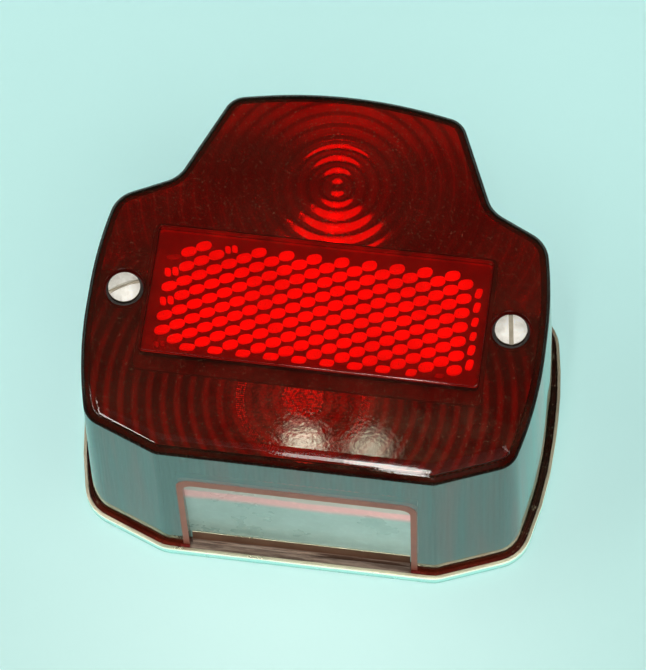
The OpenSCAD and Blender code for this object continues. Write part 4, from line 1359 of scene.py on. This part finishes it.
def spring(node, y0):
    turns, steps, sides, cr, wr = 3.5, 30, 12, 5.2, 0.4
    verts, faces = [], []
    n = int(turns * steps)
    e = 0.9 / turns
    for i in range(n + 1):
        f = i / n
        g = 0.12 * f / e if f < e else (0.88 + 0.12 * (f - 1 + e) / e if f > 1 - e else 0.12 + 0.76 * (f - e) / (1 - 2 * e))
        z = SPRING_Z0 + wr + (SPRING_Z1 - SPRING_Z0 - 2 * wr) * g
        a = 2 * math.pi * i / steps
        for k in range(sides):
            t = 2 * math.pi * k / sides
            r = cr + wr * math.cos(t)
            verts.append((r * math.cos(a), y0 + r * math.sin(a), z + wr * math.sin(t)))
    for i in range(n):
        for k in range(sides):
            m = (k + 1) % sides
            faces.append((i * sides + k, i * sides + m, (i + 1) * sides + m, (i + 1) * sides + k))
    faces.append(tuple(range(sides))[::-1])
    faces.append(tuple(n * sides + k for k in range(sides)))
    o = new_object(node + "_coil", verts, faces, "base", [M["wire"]], smooth=60)
    bm_ = bmesh.new()
    bm_.from_mesh(o.data)
    bmesh.ops.recalc_face_normals(bm_, faces=bm_.faces)
    bm_.to_mesh(o.data)
    bm_.free()
    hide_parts(node)
    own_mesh(o)


spring("stop_contact_spring", 38.0)
spring("tail_contact_spring", -27.0)

# ------------------------------------------------------------------ floor and light
def floor_material():
    m = Mat("floor_paper")
    p_ = m.principled()
    big = m.noise(1.3, 3.0, 0.5)
    fine = m.noise(900.0, 3.0, 0.6)
    m.put(p_, "Base Color", m.mix(m.range(big, 0.3, 0.7), (0.36, 0.60, 0.555), (0.40, 0.64, 0.59)))
    m.put(p_, "Roughness", m.range(big, 0.3, 0.7, 0.28, 0.38))
    m.put(p_, "Specular IOR Level", 0.35)
    m.put(p_, "Normal", m.bump(fine, 0.03, 0.00005))
    c = m.node("ShaderNodeTexCoord")
    far = m.node("ShaderNodeVectorMath")
    far.operation = "DISTANCE"
    m.t.links.new(c.outputs["Object"], far.inputs[0])
    far.inputs[1].default_value = (0.0, -0.085, 0.0)
    away = m.range(far.outputs["Value"], 0.0, 0.16, 0.0, 1.0, "SMOOTHSTEP")
    xyz = m.node("ShaderNodeSeparateXYZ")
    m.put(xyz, "Vector", c.outputs["Object"])
    # painted light: the floor glows whiter and brighter in front of the lamp and beside its left side, filling the
    # lamp's shadows, and more towards the back
    m.put(p_, "Emission Color", m.mix(away, (0.70, 0.93, 0.93), (0.53, 0.85, 0.86)))
    left = m.node("ShaderNodeVectorMath")
    left.operation = "DISTANCE"
    m.t.links.new(c.outputs["Object"], left.inputs[0])
    left.inputs[1].default_value = (-0.062, 0.005, 0.0)
    beside = m.range(left.outputs["Value"], 0.0, 0.075, 0.10, 0.0, "SMOOTHSTEP")
    level = m.math("ADD", m.range(away, 0.0, 1.0, 0.10, 0.0), m.range(xyz.outputs["Y"], -0.13, 0.12, 0.30, 0.50))
    m.put(p_, "Emission Strength", m.math("ADD", level, beside))
    return m.done(p_.outputs[0])


me = bpy.data.meshes.new("floor")
me.from_pydata([(-3, -3, -0.00005), (3, -3, -0.00005), (3, 3, -0.00005), (-3, 3, -0.00005)], [], [(0, 1, 2, 3)])
me.materials.append(floor_material())
floor = bpy.data.objects.new("floor", me)
scene.collection.objects.link(floor)

world = bpy.data.worlds.new("studio")
scene.world = world
world.use_nodes = True
bg = world.node_tree.nodes["Background"]
bg.inputs["Color"].default_value = (0.95, 0.88, 0.60, 1.0)
bg.inputs["Strength"].default_value = 0.05


def area(name, loc, target, size, power, colour=(1, 1, 1), size_y=None, shape="RECTANGLE"):
    ld = bpy.data.lights.new(name, "AREA")
    ld.shape = shape
    ld.size = size
    if shape in ("RECTANGLE", "ELLIPSE"):
        ld.size_y = size_y or size
    ld.energy = power
    ld.color = colour
    o = bpy.data.objects.new(name, ld)
    scene.collection.objects.link(o)
    o.location = loc
    o.rotation_euler = (Vector(target) - Vector(loc)).to_track_quat("-Z", "Y").to_euler()
    return o


WARM = (1.0, 0.99, 0.965)
area("overhead", (0.035, 0.09, 1.0), (0.035, 0.16, 0.06), 0.78, 1.10, WARM, 0.38, shape="ELLIPSE")
area("front_long", (-0.059, -0.10, 1.0), (-0.059, -0.10, 0.06), 0.062, 0.80, WARM, 0.40)
area("front_short", (-0.040, -0.14, 1.001), (-0.040, -0.14, 0.06), 0.036, 0.60, WARM, 0.42)
area("soft_right", (0.95, -0.50, 2.2), (0, 0, 0), 1.4, 18.0, WARM)
area("fill_front", (0.5, -1.7, 1.2), (0, 0, 0.03), 1.0, 3.5, WARM)


def strip_light(name, p0, p1, width, radiance, colour=WARM):
    """A long thin light that hangs level, 1 m up, from p0 to p1."""
    length = math.hypot(p1[0] - p0[0], p1[1] - p0[1])
    o = area(name, ((p0[0] + p1[0]) / 2, (p0[1] + p1[1]) / 2, 1.0), (0, 0, 0), width, math.pi * width * length * radiance, colour, length)
    o.rotation_euler = (0.0, 0.0, math.atan2(p1[1] - p0[1], p1[0] - p0[0]) - math.pi / 2)
    return o


strip_light("front_end", (-0.018, -0.14), (-0.020, -0.36), 0.010, 20.0)
strip_light("front_tip", (-0.029, -0.30), (-0.040, -0.84), 0.022, 19.0)
strip_light("left_strip", (-0.385, 0.27), (-0.485, -0.41), 0.04, 17.0)
strip_light("left_strip_outer", (-0.95, 0.28), (-0.60, -0.52), 0.045, 10.0)


def soft_spot(name, x, y, z, sigma, radiance):
    """A light that fades from its middle: discs of growing size, one behind the other."""
    steps = 8
    for k in range(steps):
        r = sigma * math.sqrt(-2.0 * math.log((k + 0.5) / steps))
        area("%s_%d" % (name, k), (x, y, z + 0.0004 * (steps - k)), (x * 0.5, -0.04, 0.0633), 2 * r,
             math.pi * math.pi * r * r * radiance / steps, (0.95, 1.0, 0.78), shape="DISK")


soft_spot("lamp_a", -0.0745, 0.3060, 0.8907, 0.0056, 22.0)
soft_spot("lamp_b", -0.0430, 0.3060, 0.8918, 0.0062, 13.0)
